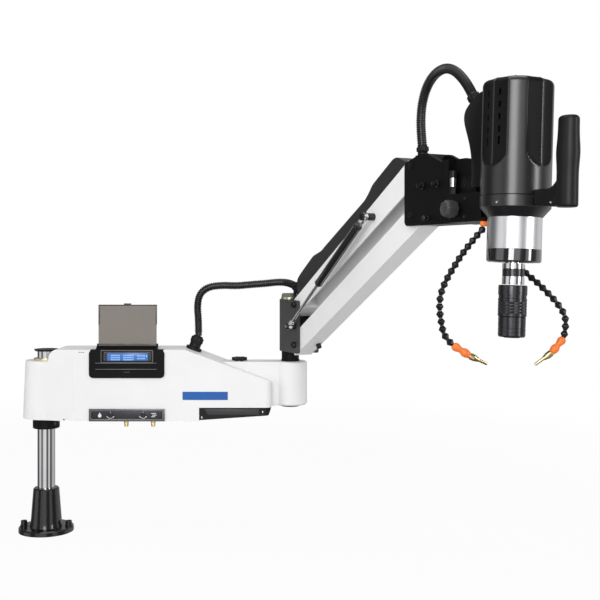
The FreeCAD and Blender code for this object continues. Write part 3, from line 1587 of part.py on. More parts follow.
export("bracket_pins", *make_bracket_pins())
export("bracket_screws", *make_bracket_screws())
export("bracket_gland", make_bracket_gland())
export("head_carrier", make_carrier())
export("tilt_knob", make_tilt_knob())
export("index_plunger", make_index_plunger())
export("motor_cover", make_motor_cover())
export("motor", make_motor())
export("rear_cover", make_rear_cover())
export("head_collar", make_head_collar())
export("gearbox", make_gearbox())
export("spindle_ring", make_spindle_ring())
export("spindle", make_spindle())
export("chuck", make_chuck())
export("chuck_sleeve", make_chuck_sleeve())
export("handle", make_handle())
export("handle_button", make_handle_button())

export("hose_left", *make_hose(left_hose_route))
export("nozzle_left", make_nozzle(left_hose_route, left_hose_tip))
export("hose_right", *make_hose(right_hose_route))
export("nozzle_right", make_nozzle(right_hose_route, right_hose_tip))
export("arm_conduit", make_conduit("arm_conduit", arm_conduit_route, Vector, arm_conduit_steady))
head_conduit = make_conduit("head_conduit", head_conduit_route, over_bracket, head_conduit_steady)
export("head_conduit", hung(head_conduit))
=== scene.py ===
# %% [markdown]
# This lesson dresses an electric tapping machine: a column on a bolted foot, a white arm with a control
# panel, a second arm carried by a gas spring, and a black tapping head with its chuck and coolant hoses.
# The solid model comes packed with its moving bodies. Everything here is placed in that same frame, in
# metres, so a piece goes where the solid model says and needs no fitting.

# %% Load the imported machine
import math

import bmesh
import bpy
from mathutils import Matrix, Vector


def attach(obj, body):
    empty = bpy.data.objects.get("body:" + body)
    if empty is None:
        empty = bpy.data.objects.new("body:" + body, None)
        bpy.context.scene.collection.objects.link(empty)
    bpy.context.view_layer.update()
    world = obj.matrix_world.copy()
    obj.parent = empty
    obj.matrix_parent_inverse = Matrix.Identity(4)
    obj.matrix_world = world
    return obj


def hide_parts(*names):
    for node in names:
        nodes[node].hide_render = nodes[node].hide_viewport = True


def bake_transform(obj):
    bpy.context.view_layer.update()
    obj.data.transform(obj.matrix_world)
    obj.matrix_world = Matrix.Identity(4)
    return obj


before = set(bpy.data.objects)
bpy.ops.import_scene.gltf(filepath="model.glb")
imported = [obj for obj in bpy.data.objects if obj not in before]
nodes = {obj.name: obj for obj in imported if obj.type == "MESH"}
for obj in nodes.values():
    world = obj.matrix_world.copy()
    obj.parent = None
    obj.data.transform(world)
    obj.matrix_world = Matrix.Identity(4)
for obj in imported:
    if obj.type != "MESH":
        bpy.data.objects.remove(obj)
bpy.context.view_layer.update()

MM = 0.001

# %% [markdown]
# The second arm was drawn straight ahead and then swung about the elbow, and the head leans by two
# degrees about the roll joint. A matrix for each of these places lets later cells work in plain, upright
# numbers: ahead of the elbow, to the left of the arm, and up.

# %% Places of the arm, the head and the links
ELBOW = 705.0
ROLL_HEIGHT = 928.0
HEAD_AHEAD = 1008.0
LINK_RISE = math.radians(29.863)
LINK_PIVOT = 95.0
UPPER_PIVOT_HEIGHT = 656.0


def moved(x, y, z):
    """A step in millimetres."""
    return Matrix.Translation((x * MM, y * MM, z * MM))


def spun(degrees, axis):
    return Matrix.Rotation(math.radians(degrees), 4, axis)


arm_place = moved(ELBOW, 0, 0) @ spun(-63, "Z")
lean = moved(0, 0, ROLL_HEIGHT) @ spun(2, Vector((-1, 0, 0))) @ moved(0, 0, -ROLL_HEIGHT)
carrier_place = arm_place @ lean
head_place = carrier_place @ moved(HEAD_AHEAD, 0, 0)
link_place = (arm_place @ moved(LINK_PIVOT, 0, UPPER_PIVOT_HEIGHT)
              @ Matrix.Rotation(LINK_RISE, 4, Vector((0, -1, 0))))
print("head axis at", [round(x, 4) for x in head_place.translation])

# %% [markdown]
# Most pieces are built from four kinds of work. A lathe spins a profile round an axis, a block is a cube
# with its edges bevelled, a prism is a drawn outline pushed out to a height, and a ring is an outline
# with an inset, like a window frame. Each is made in a mesh of its own and then laid in its place in the
# piece.

# %% A lathe, a block, a prism and a ring
def verts_of(made):
    return [item for item in made if isinstance(item, bmesh.types.BMVert)]


def edges_of(made):
    return [item for item in made if isinstance(item, bmesh.types.BMEdge)]


def faces_of(made):
    return [item for item in made if isinstance(item, bmesh.types.BMFace)]


def raised(part, faces, height):
    """Extrudes faces upwards and gives what that made."""
    made = bmesh.ops.extrude_face_region(part, geom=faces)["geom"]
    bmesh.ops.translate(part, vec=(0, 0, height * MM), verts=verts_of(made))
    return made


def added(shape, part, place):
    """Moves a part to its place and lays it into the piece."""
    bmesh.ops.transform(part, matrix=place, verts=part.verts)
    carrier = bpy.data.meshes.new("part")
    part.to_mesh(carrier)
    part.free()
    shape.from_mesh(carrier)
    bpy.data.meshes.remove(carrier)
    return shape


def turned(shape, profile, place=Matrix(), steps=40, angle=360.0):
    """Spins (radius, height) points, in millimetres, round Z."""
    part = bmesh.new()
    points = [part.verts.new((radius * MM, 0, height * MM)) for radius, height in profile]
    edges = [part.edges.new(pair) for pair in zip(points, points[1:])]
    bmesh.ops.spin(part, geom=points + edges, cent=(0, 0, 0), axis=(0, 0, 1), angle=math.radians(angle),
                   steps=steps, use_merge=angle == 360.0)
    bmesh.ops.remove_doubles(part, verts=part.verts, dist=1e-6)
    return added(shape, part, place)


def sharp_edges(part, angle):
    return [edge for edge in part.edges if edge.calc_face_angle(0) > angle]


def edges_round(verts):
    return list({edge for vert in verts for edge in vert.link_edges})


def rounded(part, edge, segments, edges=None):
    """Bevels the given edges of a part, or all of them."""
    if edge:
        chosen = part.edges[:] if edges is None else edges
        bmesh.ops.bevel(part, geom=chosen, offset=edge * MM, segments=segments, profile=0.5,
                        affect="EDGES", material=-1, clamp_overlap=True)


def block(shape, low, high, place=Matrix(), edge=0.5, segments=2):
    """A cube stretched between two corners, with its edges rounded."""
    part = bmesh.new()
    bmesh.ops.create_cube(part, size=MM)
    bmesh.ops.scale(part, vec=[b - a for a, b in zip(low, high)], verts=part.verts)
    bmesh.ops.translate(part, vec=[(a + b) / 2 * MM for a, b in zip(low, high)], verts=part.verts)
    rounded(part, edge, segments)
    return added(shape, part, place)


def outlined(part, outline, low):
    points = [part.verts.new((x * MM, y * MM, low * MM)) for x, y in outline]
    loop = [part.edges.new(pair) for pair in zip(points, points[1:] + points[:1])]
    return bmesh.ops.contextual_create(part, geom=loop)["faces"][0]


def prism(shape, outline, low, high, place=Matrix(), edge=0.3, segments=2):
    """An outline of (x, y) points pushed out from one height to another."""
    part = bmesh.new()
    face = outlined(part, outline, low)
    raised(part, [face], high - low)
    rounded(part, edge, segments)
    return added(shape, part, place)


def ring(shape, outline, width, low, high, place=Matrix(), edge=0.3, segments=2):
    """A frame: the outline with an inset of the given width cut out of its middle."""
    part = bmesh.new()
    face = outlined(part, outline, low)
    bmesh.ops.inset_region(part, faces=[face], thickness=width * MM, use_boundary=True,
                           use_even_offset=True)
    bmesh.ops.delete(part, geom=[face], context="FACES")
    raised(part, part.faces[:], high - low)
    rounded(part, edge, segments, sharp_edges(part, 0.7))
    return added(shape, part, place)


def rectangle(left, bottom, right, top):
    return [(left, bottom), (right, bottom), (right, top), (left, top)]


def socket_head(shape, radius, height, place, socket=0.5, depth=0.55):
    """A screw head with a rounded rim and a hexagon socket, standing on its place along Z."""
    hexagon = radius * socket
    floor = height * (1 - depth)
    turned(shape, [(0, floor), (hexagon, floor), (hexagon, height - 0.3), (hexagon + 0.3, height),
                   (radius - 0.7, height), (radius - 0.2, height - 0.2), (radius, height - 0.7),
                   (radius, 0), (0, 0)], place, 24)
    turned(shape, [(hexagon * 0.86, floor + 0.05), (hexagon * 1.04, height - 0.25)], place, 6)


def standing(base, axis):
    """A place whose Z runs along axis from base, both in metres."""
    turn = Vector(axis).to_track_quat("Z", "Y").to_matrix().to_4x4()
    return Matrix.Translation(base) @ turn


# %% [markdown]
# Every finished piece goes through one door: doubles are merged, faces turned outwards, sharp edges kept
# crisp, and the object is given its finish and the body that carries it.

# %% Turn a shape into a piece that rides on a body
CREASE = math.radians(32)


def mesh_of(shape, name):
    bmesh.ops.remove_doubles(shape, verts=shape.verts, dist=2e-6)
    bmesh.ops.recalc_face_normals(shape, faces=shape.faces)
    for face in shape.faces:
        face.smooth = True
    for edge in shape.edges:
        edge.smooth = edge.calc_face_angle(0) < CREASE
    mesh = bpy.data.meshes.new(name)
    shape.to_mesh(mesh)
    shape.free()
    return mesh


def piece(shape, name, body, finish, replaced=(), blend=None):
    obj = bpy.data.objects.new(name, mesh_of(shape, name))
    bpy.context.scene.collection.objects.link(obj)
    obj.data.materials.append(finishes[finish])
    if blend:
        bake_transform(obj)
    else:
        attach(obj, body)
    if replaced:
        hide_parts(*replaced)
    print(name, len(obj.data.polygons), "faces")
    return obj


def screws(name, body, finish, radius, height, places, socket=0.5, depth=0.55):
    """A piece made of equal screws, one at each place."""
    heads = bmesh.new()
    for place in places:
        socket_head(heads, radius, height, place, socket, depth)
    piece(heads, name, body, finish)


# %% [markdown]
# The camera stands level, nearly three metres away, a little above the panel. The photograph's horizon is
# higher than its middle, so the lens is shifted and the camera isn't tilted, and upright edges stay
# upright.

# %% Camera
lens = bpy.data.cameras.new("camera")
lens.lens = 60.0
lens.sensor_width = 36.0
lens.shift_y = -0.0633
camera = bpy.data.objects.new("camera", lens)
camera.location = (0.733, -2.890, 0.775)
camera.rotation_euler = (math.radians(90), 0, 0)
bpy.context.scene.collection.objects.link(camera)
bpy.context.scene.camera = camera

# %% [markdown]
# The studio is white for the camera. Reflections see something else: a dark room with tall bright panels
# round it, which draws the bright and dark bands that one knows from chrome and from black enamel. All
# other light comes from an even grey sky. The floor shows white too, with a trace of its real shading
# near the machine, so that the soft shadow stays.

# %% Studio: view, world and floor
scene = bpy.context.scene
scene.view_settings.view_transform = "Standard"
AMBIENT = 0.53
DARK_ROOM = 0.05
SHADOW_KEPT = 0.06
# Degrees from the camera's side, seen from the machine, and how bright the room is there.
PANELS = ((-180, 0.25), (-140, 0.30), (-122, 0.05), (-96, 0.05), (-84, 0.75), (-58, 0.80), (-52, 0.10),
          (-34, 0.10), (-30, 0.95), (-23, 0.95), (-20, 0.20), (-17, 0.95), (10, 1.00), (18, 0.15),
          (36, 0.06), (42, 0.85), (58, 0.85), (64, 0.10), (88, 0.12), (100, 0.60), (140, 0.55), (160, 0.10),
          (180, 0.25))


def value_node(tree, operation, first, second, clamp=True):
    """A Math node; each side is a socket or a plain number."""
    node = tree.nodes.new("ShaderNodeMath")
    node.operation = operation
    node.use_clamp = clamp
    for index, item in enumerate((first, second)):
        if isinstance(item, bpy.types.NodeSocket):
            tree.links.new(item, node.inputs[index])
        else:
            node.inputs[index].default_value = item
    return node.outputs[0]


def mixed(tree, factor, first, second):
    mix = tree.nodes.new("ShaderNodeMixShader")
    tree.links.new(factor, mix.inputs["Fac"])
    tree.links.new(first.outputs[0], mix.inputs[1])
    tree.links.new(second.outputs[0], mix.inputs[2])
    return mix


def sky(tree, strength):
    light = tree.nodes.new("ShaderNodeBackground")
    light.inputs["Color"].default_value = (1, 1, 1, 1)
    light.inputs["Strength"].default_value = strength
    return light


def panelled_room(tree):
    """The brightness of the dark room in the direction that a ray leaves to."""
    direction = tree.nodes.new("ShaderNodeTexCoord")
    split = tree.nodes.new("ShaderNodeSeparateXYZ")
    tree.links.new(direction.outputs["Generated"], split.inputs[0])
    towards = value_node(tree, "MULTIPLY", split.outputs["Y"], -1.0, False)
    angle = value_node(tree, "ARCTAN2", split.outputs["X"], towards, False)
    turn = value_node(tree, "MULTIPLY_ADD", angle, 1 / (2 * math.pi), False)
    turn.node.inputs[2].default_value = 0.5
    ramp = tree.nodes.new("ShaderNodeValToRGB")
    ramp.color_ramp.elements[0].position = 0.0
    for degrees, bright in PANELS:
        stop = ramp.color_ramp.elements.new(degrees / 360 + 0.5)
        stop.color = (bright, bright, bright, 1)
    tree.links.new(turn, ramp.inputs["Fac"])
    steep = value_node(tree, "MULTIPLY", split.outputs["Z"], split.outputs["Z"])
    level = value_node(tree, "SUBTRACT", 1.0, steep)
    panels = value_node(tree, "MULTIPLY", ramp.outputs["Color"], level)
    return value_node(tree, "ADD", panels, DARK_ROOM)


world = bpy.data.worlds.new("studio")
world.use_nodes = True
scene.world = world
tree = world.node_tree
tree.nodes.remove(tree.nodes["Background"])
path = tree.nodes.new("ShaderNodeLightPath")
through = value_node(tree, "ADD", path.outputs["Is Camera Ray"], path.outputs["Is Transmission Ray"])
room = sky(tree, 1.0)
tree.links.new(panelled_room(tree), room.inputs["Strength"])
sky_for_mirrors = mixed(tree, path.outputs["Is Glossy Ray"], sky(tree, AMBIENT), room)
whole_sky = mixed(tree, through, sky_for_mirrors, sky(tree, 1.0))
tree.links.new(whole_sky.outputs[0], tree.nodes["World Output"].inputs["Surface"])

floor_shape = bmesh.new()
bmesh.ops.create_circle(floor_shape, cap_ends=True, segments=96, radius=9.0)
floor_mesh = bpy.data.meshes.new("floor")
floor_shape.to_mesh(floor_mesh)
floor_shape.free()
floor = bpy.data.objects.new("floor", floor_mesh)
scene.collection.objects.link(floor)
floor.visible_glossy = False

floor_paint = bpy.data.materials.new("floor_paint")
floor_paint.use_nodes = True
tree = floor_paint.node_tree
tree.nodes.clear()
paint = tree.nodes.new("ShaderNodeBsdfDiffuse")
paint.inputs["Color"].default_value = (0.62, 0.62, 0.62, 1)
glow = tree.nodes.new("ShaderNodeEmission")
glow.inputs["Color"].default_value = (1, 1, 1, 1)
place = tree.nodes.new("ShaderNodeTexCoord")
away = tree.nodes.new("ShaderNodeVectorMath")
away.operation = "LENGTH"
tree.links.new(place.outputs["Object"], away.inputs[0])
far = tree.nodes.new("ShaderNodeMapRange")
far.inputs["From Min"].default_value = 1.6
far.inputs["From Max"].default_value = 3.2
far.inputs["To Min"].default_value = 1 - SHADOW_KEPT
far.inputs["To Max"].default_value = 1.0
tree.links.new(away.outputs["Value"], far.inputs["Value"])
path = tree.nodes.new("ShaderNodeLightPath")
mirror_part = value_node(tree, "MULTIPLY", path.outputs["Is Glossy Ray"], 0.10)
camera_part = value_node(tree, "MULTIPLY", path.outputs["Is Camera Ray"], far.outputs["Result"])
shown = value_node(tree, "ADD", camera_part, mirror_part)
out = tree.nodes.new("ShaderNodeOutputMaterial")
tree.links.new(mixed(tree, shown, paint, glow).outputs[0], out.inputs["Surface"])
floor.data.materials.append(floor_paint)
print("sky", AMBIENT, "with", len(PANELS), "stops in mirrors, shadow kept", SHADOW_KEPT)

# %% [markdown]
# Four soft boxes light the machine: a tall one beside the camera, which draws the long highlight down the
# motor cover, one at the left for the flank of the raised arm, a weaker one at the right, and one
# overhead.

# %% Lamps
def soft_box(name, place, target, width, height, power, mirrored=True):
    light = bpy.data.lights.new(name, "AREA")
    light.shape = "RECTANGLE"
    light.size = width
    light.size_y = height
    light.energy = power
    lamp = bpy.data.objects.new(name, light)
    lamp.location = place
    away = Vector(place) - Vector(target)
    lamp.rotation_euler = away.to_track_quat("Z", "Y").to_euler()
    lamp.visible_glossy = mirrored
    scene.collection.objects.link(lamp)


soft_box("key_box", (0.2, -3.1, 1.7), (0.9, -0.6, 0.8), 1.0, 2.0, 36)
soft_box("left_box", (-2.4, -2.4, 1.3), (1.0, -0.7, 0.8), 1.4, 1.6, 30, False)
soft_box("fill_box", (3.2, -2.2, 1.3), (0.9, -0.6, 0.8), 0.5, 1.8, 19)
soft_box("top_box", (0.6, -0.4, 3.2), (0.6, -0.4, 0.5), 2.6, 1.8, 22)

# %% [markdown]
# A painted or moulded surface is never one flat colour. The base of each finish is the same small
# network: noise on the piece's own coordinates varies the colour and the roughness a little, and finer
# noise gives a bump, such as the orange peel of powder coat, the sand texture of a casting or the grain
# of a plastic.

# %% Procedural finishes
def rgb(colour):
    return (*colour, 1.0)


def noise(tree, scale, detail=3.0, stretch=(1, 1, 1), turn=(0, 0, 0)):
    """Noise on Object coordinates, stretched and turned by a Mapping node."""
    place = tree.nodes.new("ShaderNodeTexCoord")
    mapping = tree.nodes.new("ShaderNodeMapping")
    mapping.inputs["Scale"].default_value = stretch
    mapping.inputs["Rotation"].default_value = turn
    grain = tree.nodes.new("ShaderNodeTexNoise")
    grain.inputs["Scale"].default_value = scale
    grain.inputs["Detail"].default_value = detail
    tree.links.new(place.outputs["Object"], mapping.inputs["Vector"])
    tree.links.new(mapping.outputs["Vector"], grain.inputs["Vector"])
    return grain


def between(tree, factor, low, high, start=0.35, end=0.65):
    """A ramp from low to high, grey levels or colours."""
    ramp = tree.nodes.new("ShaderNodeValToRGB")
    ramp.color_ramp.elements[0].position = start
    ramp.color_ramp.elements[1].position = end
    for element, value in zip(ramp.color_ramp.elements, (low, high)):
        element.color = rgb(value) if hasattr(value, "__len__") else (value, value, value, 1)
    tree.links.new(factor, ramp.inputs["Fac"])
    return ramp.outputs["Color"]


def finish(name, colour, rough, vary=0.12, cloud=9.0, grain=700.0, relief=0.00002, stretch=(1, 1, 1),
           **sockets):
    """A finish with colour clouds, uneven gloss and a fine relief; sockets sets more of the shader."""
    material = bpy.data.materials.new(name)
    material.use_nodes = True
    tree = material.node_tree
    shader = tree.nodes["Principled BSDF"]
    for socket, value in sockets.items():
        shader.inputs[socket.replace("_", " ")].default_value = value
    clouds = noise(tree, cloud, 4.0)
    darker = tuple(c * (1 - vary) for c in colour)
    lighter = tuple(min(1.0, c * (1 + vary)) for c in colour)
    tree.links.new(between(tree, clouds.outputs["Fac"], darker, lighter), shader.inputs["Base Color"])
    fine = noise(tree, grain, 2.0, stretch)
    tree.links.new(between(tree, fine.outputs["Fac"], rough * 0.88, min(1.0, rough * 1.12)),
                   shader.inputs["Roughness"])
    bump = tree.nodes.new("ShaderNodeBump")
    bump.inputs["Strength"].default_value = 0.6
    bump.inputs["Distance"].default_value = relief
    tree.links.new(fine.outputs["Fac"], bump.inputs["Height"])
    tree.links.new(bump.outputs["Normal"], shader.inputs["Normal"])
    return material


finishes = {
    "white_paint": finish("white_powder_coat", (0.83, 0.83, 0.835), 0.38, vary=0.015, grain=900,
                          relief=0.00003),
    "cast_black": finish("black_cast_enamel", (0.004, 0.004, 0.0045), 0.20, grain=260, relief=0.00006,
                         Coat_Weight=0.5, Coat_Roughness=0.10),
    "black_paint": finish("black_powder_coat", (0.0040, 0.0040, 0.0044), 0.45, grain=1100, relief=0.00005,
                          Specular_IOR_Level=0.18),
    "grey_black_paint": finish("satin_grey_paint", (0.050, 0.050, 0.052), 0.42, grain=1000, relief=0.00004),
    "cover_paint": finish("satin_black_paint", (0.020, 0.020, 0.021), 0.36, grain=1000, relief=0.00004,
                          Specular_IOR_Level=0.8),
    "satin_cover": finish("satin_black_cover", (0.0045, 0.0045, 0.005), 0.34, grain=1300, relief=0.000012,
                          Specular_IOR_Level=0.5, Coat_Weight=0.6, Coat_Roughness=0.24, Coat_IOR=1.6),
    "cap_grey": finish("grey_cap", (0.15, 0.15, 0.155), 0.40, grain=900, relief=0.00003),
    "black_gloss": finish("polished_black_ring", (0.003, 0.003, 0.0032), 0.10, vary=0.05, grain=300,
                          relief=0.000003, Coat_Weight=1.0, Coat_Roughness=0.05, Coat_IOR=2.0),
    "black_plastic": finish("black_moulded_plastic", (0.0048, 0.0048, 0.0052), 0.30, grain=1200,
                            relief=0.00002, Specular_IOR_Level=0.30),
    "bezel_black": finish("satin_black_panel", (0.0036, 0.0036, 0.004), 0.34, grain=1200, relief=0.00002,
                          Specular_IOR_Level=0.13),
    "matte_black": finish("black_grained_plastic", (0.0065, 0.0065, 0.007), 0.42, grain=1500,
                          relief=0.00004, Specular_IOR_Level=0.3),
    "conduit_black": finish("ribbed_nylon", (0.0085, 0.0085, 0.009), 0.32, grain=1500, relief=0.00002,
                            Specular_IOR_Level=0.6),
    "flute_black": finish("grained_flutes", (0.0055, 0.0055, 0.006), 0.50, grain=1500, relief=0.00003,
                          Specular_IOR_Level=0.12),
    "rubber": finish("black_rubber", (0.012, 0.012, 0.012), 0.75, grain=800, relief=0.00006),
    "polished_steel": finish("ground_steel", (0.66, 0.66, 0.675), 0.07, vary=0.04, grain=220,
                             relief=0.000006, stretch=(1, 1, 9), Metallic=1.0),
    "bright_steel": finish("turned_steel", (0.78, 0.78, 0.80), 0.12, vary=0.06, grain=300, relief=0.00001,
                           stretch=(1, 1, 8), Metallic=1.0),
    "black_steel": finish("blackened_steel", (0.055, 0.055, 0.060), 0.22, grain=900, relief=0.00002,
                          Metallic=0.8),
    "bronze": finish("bearing_bronze", (0.80, 0.76, 0.50), 0.35, grain=500, relief=0.00002, Metallic=1.0),
    "brass": finish("bright_brass", (0.80, 0.62, 0.30), 0.22, vary=0.08, grain=500, relief=0.00001,
                    Metallic=1.0),
    "gearbox_grey": finish("satin_anodised", (0.88, 0.88, 0.91), 0.33, vary=0.03, grain=260, relief=0.00001,
                           stretch=(1, 1, 10), Metallic=1.0),
    "strip_face": finish("slate_enamel", (0.020, 0.023, 0.030), 0.35, grain=700, relief=0.00003),
    "strip_frame": finish("brushed_frame", (0.16, 0.16, 0.165), 0.28, grain=400, relief=0.00002,
                          stretch=(0.1, 1, 6), Metallic=1.0),
    "blue_plate": finish("blue_enamel", (0.003, 0.095, 0.37), 0.35, vary=0.05, grain=600, relief=0.00001),
    "board_green": finish("board_lacquer", (0.02, 0.13, 0.05), 0.35, grain=900),
    "drive_alloy": finish("plain_alloy", (0.50, 0.51, 0.52), 0.4, grain=500, Metallic=1.0),
    # The motor inside the cover gets near black: painted shade for the hollow behind the cover's slots.
    "motor_alloy": finish("motor_dark_as_shade", (0.006, 0.006, 0.0065), 0.7, grain=500, relief=0.00006,
                          Specular_IOR_Level=0.1),
    "orange_plastic": finish("orange_acetal", (0.85, 0.19, 0.025), 0.38, vary=0.08, grain=900,
                             relief=0.00002),
    "display_glass": finish("display_glass", (0.004, 0.004, 0.005), 0.10, grain=400, relief=0.000002,
                            Coat_Weight=0.5, Coat_Roughness=0.03),
    "marks": finish("printed_marks", (0.80, 0.80, 0.80), 0.5, vary=0.05, relief=0.00001),
}
print(len(finishes), "finishes")

# %% [markdown]
# Two finishes need more than that. The lid is smoked clear plastic, so part of the light passes straight
# through it. The display shines by itself: a blue field behind pale cells.

# %% Smoked lid and lit display
finishes["smoked_lid"] = finish("smoked_acrylic", (0.150, 0.118, 0.092), 0.12, vary=0.05, cloud=5.0,
                                grain=300, relief=0.000004, Alpha=0.66)
finishes["smoked_lid"].surface_render_method = "BLENDED"


def lit(name, colour, strength):
    material = finish(name, colour, 0.25, vary=0.10, cloud=30.0, grain=500, relief=0.000002)
    shader = material.node_tree.nodes["Principled BSDF"]
    shader.inputs["Emission Color"].default_value = rgb(colour)
    shader.inputs["Emission Strength"].default_value = strength
    return material


finishes["lcd_field"] = lit("lcd_field", (0.042, 0.115, 0.35), 0.50)
finishes["lcd_cells"] = lit("lcd_cells", (0.19, 0.40, 0.74), 0.48)

# %% [markdown]
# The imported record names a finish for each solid. Those solids keep their shapes, so they only need a
# better material in place of the plain colour that they came with.

# %% Finish of each solid part
parts_by_finish = {
    "cast_black": "base_flange",
    "black_steel": "flange_screws elbow_pins spring_stud spring_pin bracket_pins bracket_screws chuck "
                   "chuck_sleeve",
    "polished_steel": "column",
    "black_paint": "column_collar elbow_end_cap elbow_shaft bracket_plates bracket_core head_carrier",
    "bronze": "column_ring arm_bushes elbow_ring",
    "matte_black": "column_cap arm_gland arm_lock_knob bracket_gland tilt_knob handle hose_left "
                   "hose_right arm_conduit head_conduit",
    "white_paint": "arm_casting control_housing housing_floor upper_link lower_link",
    "black_plastic": "end_insert rear_cover",
    "bezel_black": "control_bezel",
    "display_glass": "display_panel",
    "strip_face": "valve_strip",
    "brass": "panel_fittings nozzle_left nozzle_right",
    "blue_plate": "rating_plate",
    "board_green": "control_board",
    "drive_alloy": "servo_drive",
    "grey_black_paint": "elbow_bracket",
    "cap_grey": "elbow_cap",
    "cover_paint": "cable_cover",
    "rubber": "rest_buffer",
    "bright_steel": "gas_spring_rod index_plunger spindle",
    "black_gloss": "gas_spring_tube spindle_ring",
    "satin_cover": "motor_cover head_collar",
    # The motor's near black is painted shade inside the cover.
    "motor_alloy": "motor",
    "gearbox_grey": "gearbox",
    "orange_plastic": "handle_button",
    "smoked_lid": "display_lid",
}
node_finish = {node: kind for kind, held in parts_by_finish.items() for node in held.split()}
for name, obj in nodes.items():
    if not obj.material_slots:
        obj.data.materials.append(None)
    for held in obj.material_slots:
        held.material = finishes[node_finish[name]]
print("dressed", len(nodes), "solid parts")

# %% [markdown]
# A corrugated conduit is a tube whose wall goes up and down in even rings, so that it bends without
# kinking. Its line is one smooth NURBS spline through the places where the real one runs. The tube is
# made like a sweep in steps: one ring is extruded again and again, each time moved along the line and
# made wider or narrower.

# %% The line of a cord, read back from its spline
def spline_line(name, route):
    """The points of a NURBS spline whose control points are the route."""
    curve = bpy.data.curves.new(name, "CURVE")
    curve.dimensions = "3D"
    curve.resolution_u = 24
    spline = curve.splines.new("NURBS")
    spline.points.add(len(route) - 1)
    for point, place in zip(spline.points, route):
        point.co = (*place, 1.0)
    spline.order_u = 3
    spline.use_endpoint_u = True
    holder = bpy.data.objects.new(name, curve)
    scene.collection.objects.link(holder)
    bpy.context.view_layer.update()
    line = bpy.data.meshes.new_from_object(holder)
    points = [vertex.co.copy() for vertex in line.vertices]
    bpy.data.objects.remove(holder)
    bpy.data.curves.remove(curve)
    bpy.data.meshes.remove(line)
    return points


class Line:
    """Walks along points: gives the place and direction at a distance."""

    def __init__(self, points):
        self.points = points
        self.runs = [(b - a).length for a, b in zip(points, points[1:])]
        self.length = sum(self.runs)

    def at(self, distance):
        left = max(0.0, min(distance, self.length))
        for index, run in enumerate(self.runs):
            if left <= run or index == len(self.runs) - 1:
                start, end = self.points[index], self.points[index + 1]
                before = self.points[max(index - 1, 0)]
                after = self.points[min(index + 2, len(self.points) - 1)]
                share = left / run if run else 0.0
                entering = (end - before).normalized()
                leaving = (after - start).normalized()
                direction = entering.lerp(leaving, share).normalized()
                return start.lerp(end, share), direction
            left -= run

    def place(self, distance, steady):
        """A matrix at a distance, its Z along the line and its X as near to steady as that allows."""
        point, axis = self.at(distance)
        side = (steady - axis * steady.dot(axis)).normalized()
        other = axis.cross(side)
        turn = Matrix((side, other, axis)).transposed().to_4x4()
        return Matrix.Translation(point) @ turn


def swept(shape, line, rings, steady, sides=24):
    """Extrudes one ring along the line; rings are (distance, radius) in metres."""
    distance, radius = rings[0]
    place = line.place(distance, steady) @ Matrix.Scale(radius, 4)
    made = bmesh.ops.create_circle(shape, cap_ends=False, segments=sides, radius=1.0, matrix=place)
    edges = edges_round(made["verts"])
    for distance, radius in rings[1:]:
        following = line.place(distance, steady) @ Matrix.Scale(radius, 4)
        made = bmesh.ops.extrude_edge_only(shape, edges=edges)["geom"]
        edges = edges_of(made)
        bmesh.ops.transform(shape, matrix=following @ place.inverted(), verts=verts_of(made))
        place = following
    return shape


# %% Corrugated conduits
CONDUIT_RADIUS = 11.0 * MM
CONDUIT_VALLEY = 9.3 * MM
CONDUIT_PITCH = 5.2 * MM
CUFF = 9.0 * MM
CONDUIT_INNER = 8.0 * MM


def conduit(name, route, steady, blend, node):
    line = Line(spline_line(name + "_line", route))
    count = round((line.length - 2 * CUFF) / CONDUIT_PITCH)
    pitch = (line.length - 2 * CUFF) / count
    rings = [(CUFF, CONDUIT_INNER), (0.0, CONDUIT_INNER), (0.0, CONDUIT_VALLEY), (CUFF, CONDUIT_VALLEY)]
    for rib in range(count):
        start = CUFF + rib * pitch
        rings += [(start + 0.14 * pitch, CONDUIT_VALLEY), (start + 0.36 * pitch, CONDUIT_RADIUS),
                  (start + 0.66 * pitch, CONDUIT_RADIUS), (start + 0.88 * pitch, CONDUIT_VALLEY)]
    end = line.length
    rings += [(end - CUFF, CONDUIT_VALLEY), (end, CONDUIT_VALLEY), (end, CONDUIT_INNER),
              (end - CUFF, CONDUIT_INNER)]
    shape = swept(bmesh.new(), line, rings, steady)
    tube = piece(shape, name, None, "conduit_black", (node,), blend)
    print(name, "is", round(line.length, 3), "m long with", count, "ribs")
    return line


arm_conduit_route = [
    (440.0, 0.0, 562.0), (440.0, 0.0, 606.0), (436.0, 0.0, 646.0), (442.0, 0.0, 682.0), (467.0, 0.0, 703.0),
    (508.0, 0.0, 708.0), (550.0, 0.0, 706.0), (592.0, 0.0, 710.0), (634.0, 0.0, 713.0), (668.0, 0.0, 717.0),
    (696.0, -4.0, 716.0), (718.0, -22.0, 708.0), (734.0, -48.0, 697.0)]
head_conduit_route = [
    (698.0, -12.0, 1023.0), (692.0, -12.0, 1060.0), (689.0, -12.0, 1098.0), (695.0, -12.0, 1136.0),
    (713.0, -12.0, 1170.0), (744.0, -12.0, 1193.0), (784.0, -12.0, 1200.0), (820.0, -12.0, 1188.0),
    (850.0, -12.0, 1165.0), (875.0, -12.0, 1138.0), (893.0, -12.0, 1112.0)]
arm_line = conduit("arm_conduit_ribbed", [Vector(p) * MM for p in arm_conduit_route],
                   Vector((0.45, 0.89, 0)), ("first_arm", "elbow", (0.46, 0, 0.70), (0.70, 0, 0.70)),
                   "arm_conduit")
head_conduit_points = [arm_place @ (Vector(p) * MM) for p in head_conduit_route]
head_line = conduit("head_conduit_ribbed", head_conduit_points, arm_place.to_3x3() @ Vector((0, 1, 0)),
                    ("head_bracket", "tapping_head", tuple(head_conduit_points[2]),
                     tuple(head_conduit_points[-2])), "head_conduit")

# %% [markdown]
# A modular coolant hose is a chain of small plastic elements. Each one is a socket that narrows to a
# ball, and the next socket snaps over that ball, so the chain bends and stays. One element is made from
# an eight-sided ring that is extruded and scaled; it is then repeated along the hose's spline.

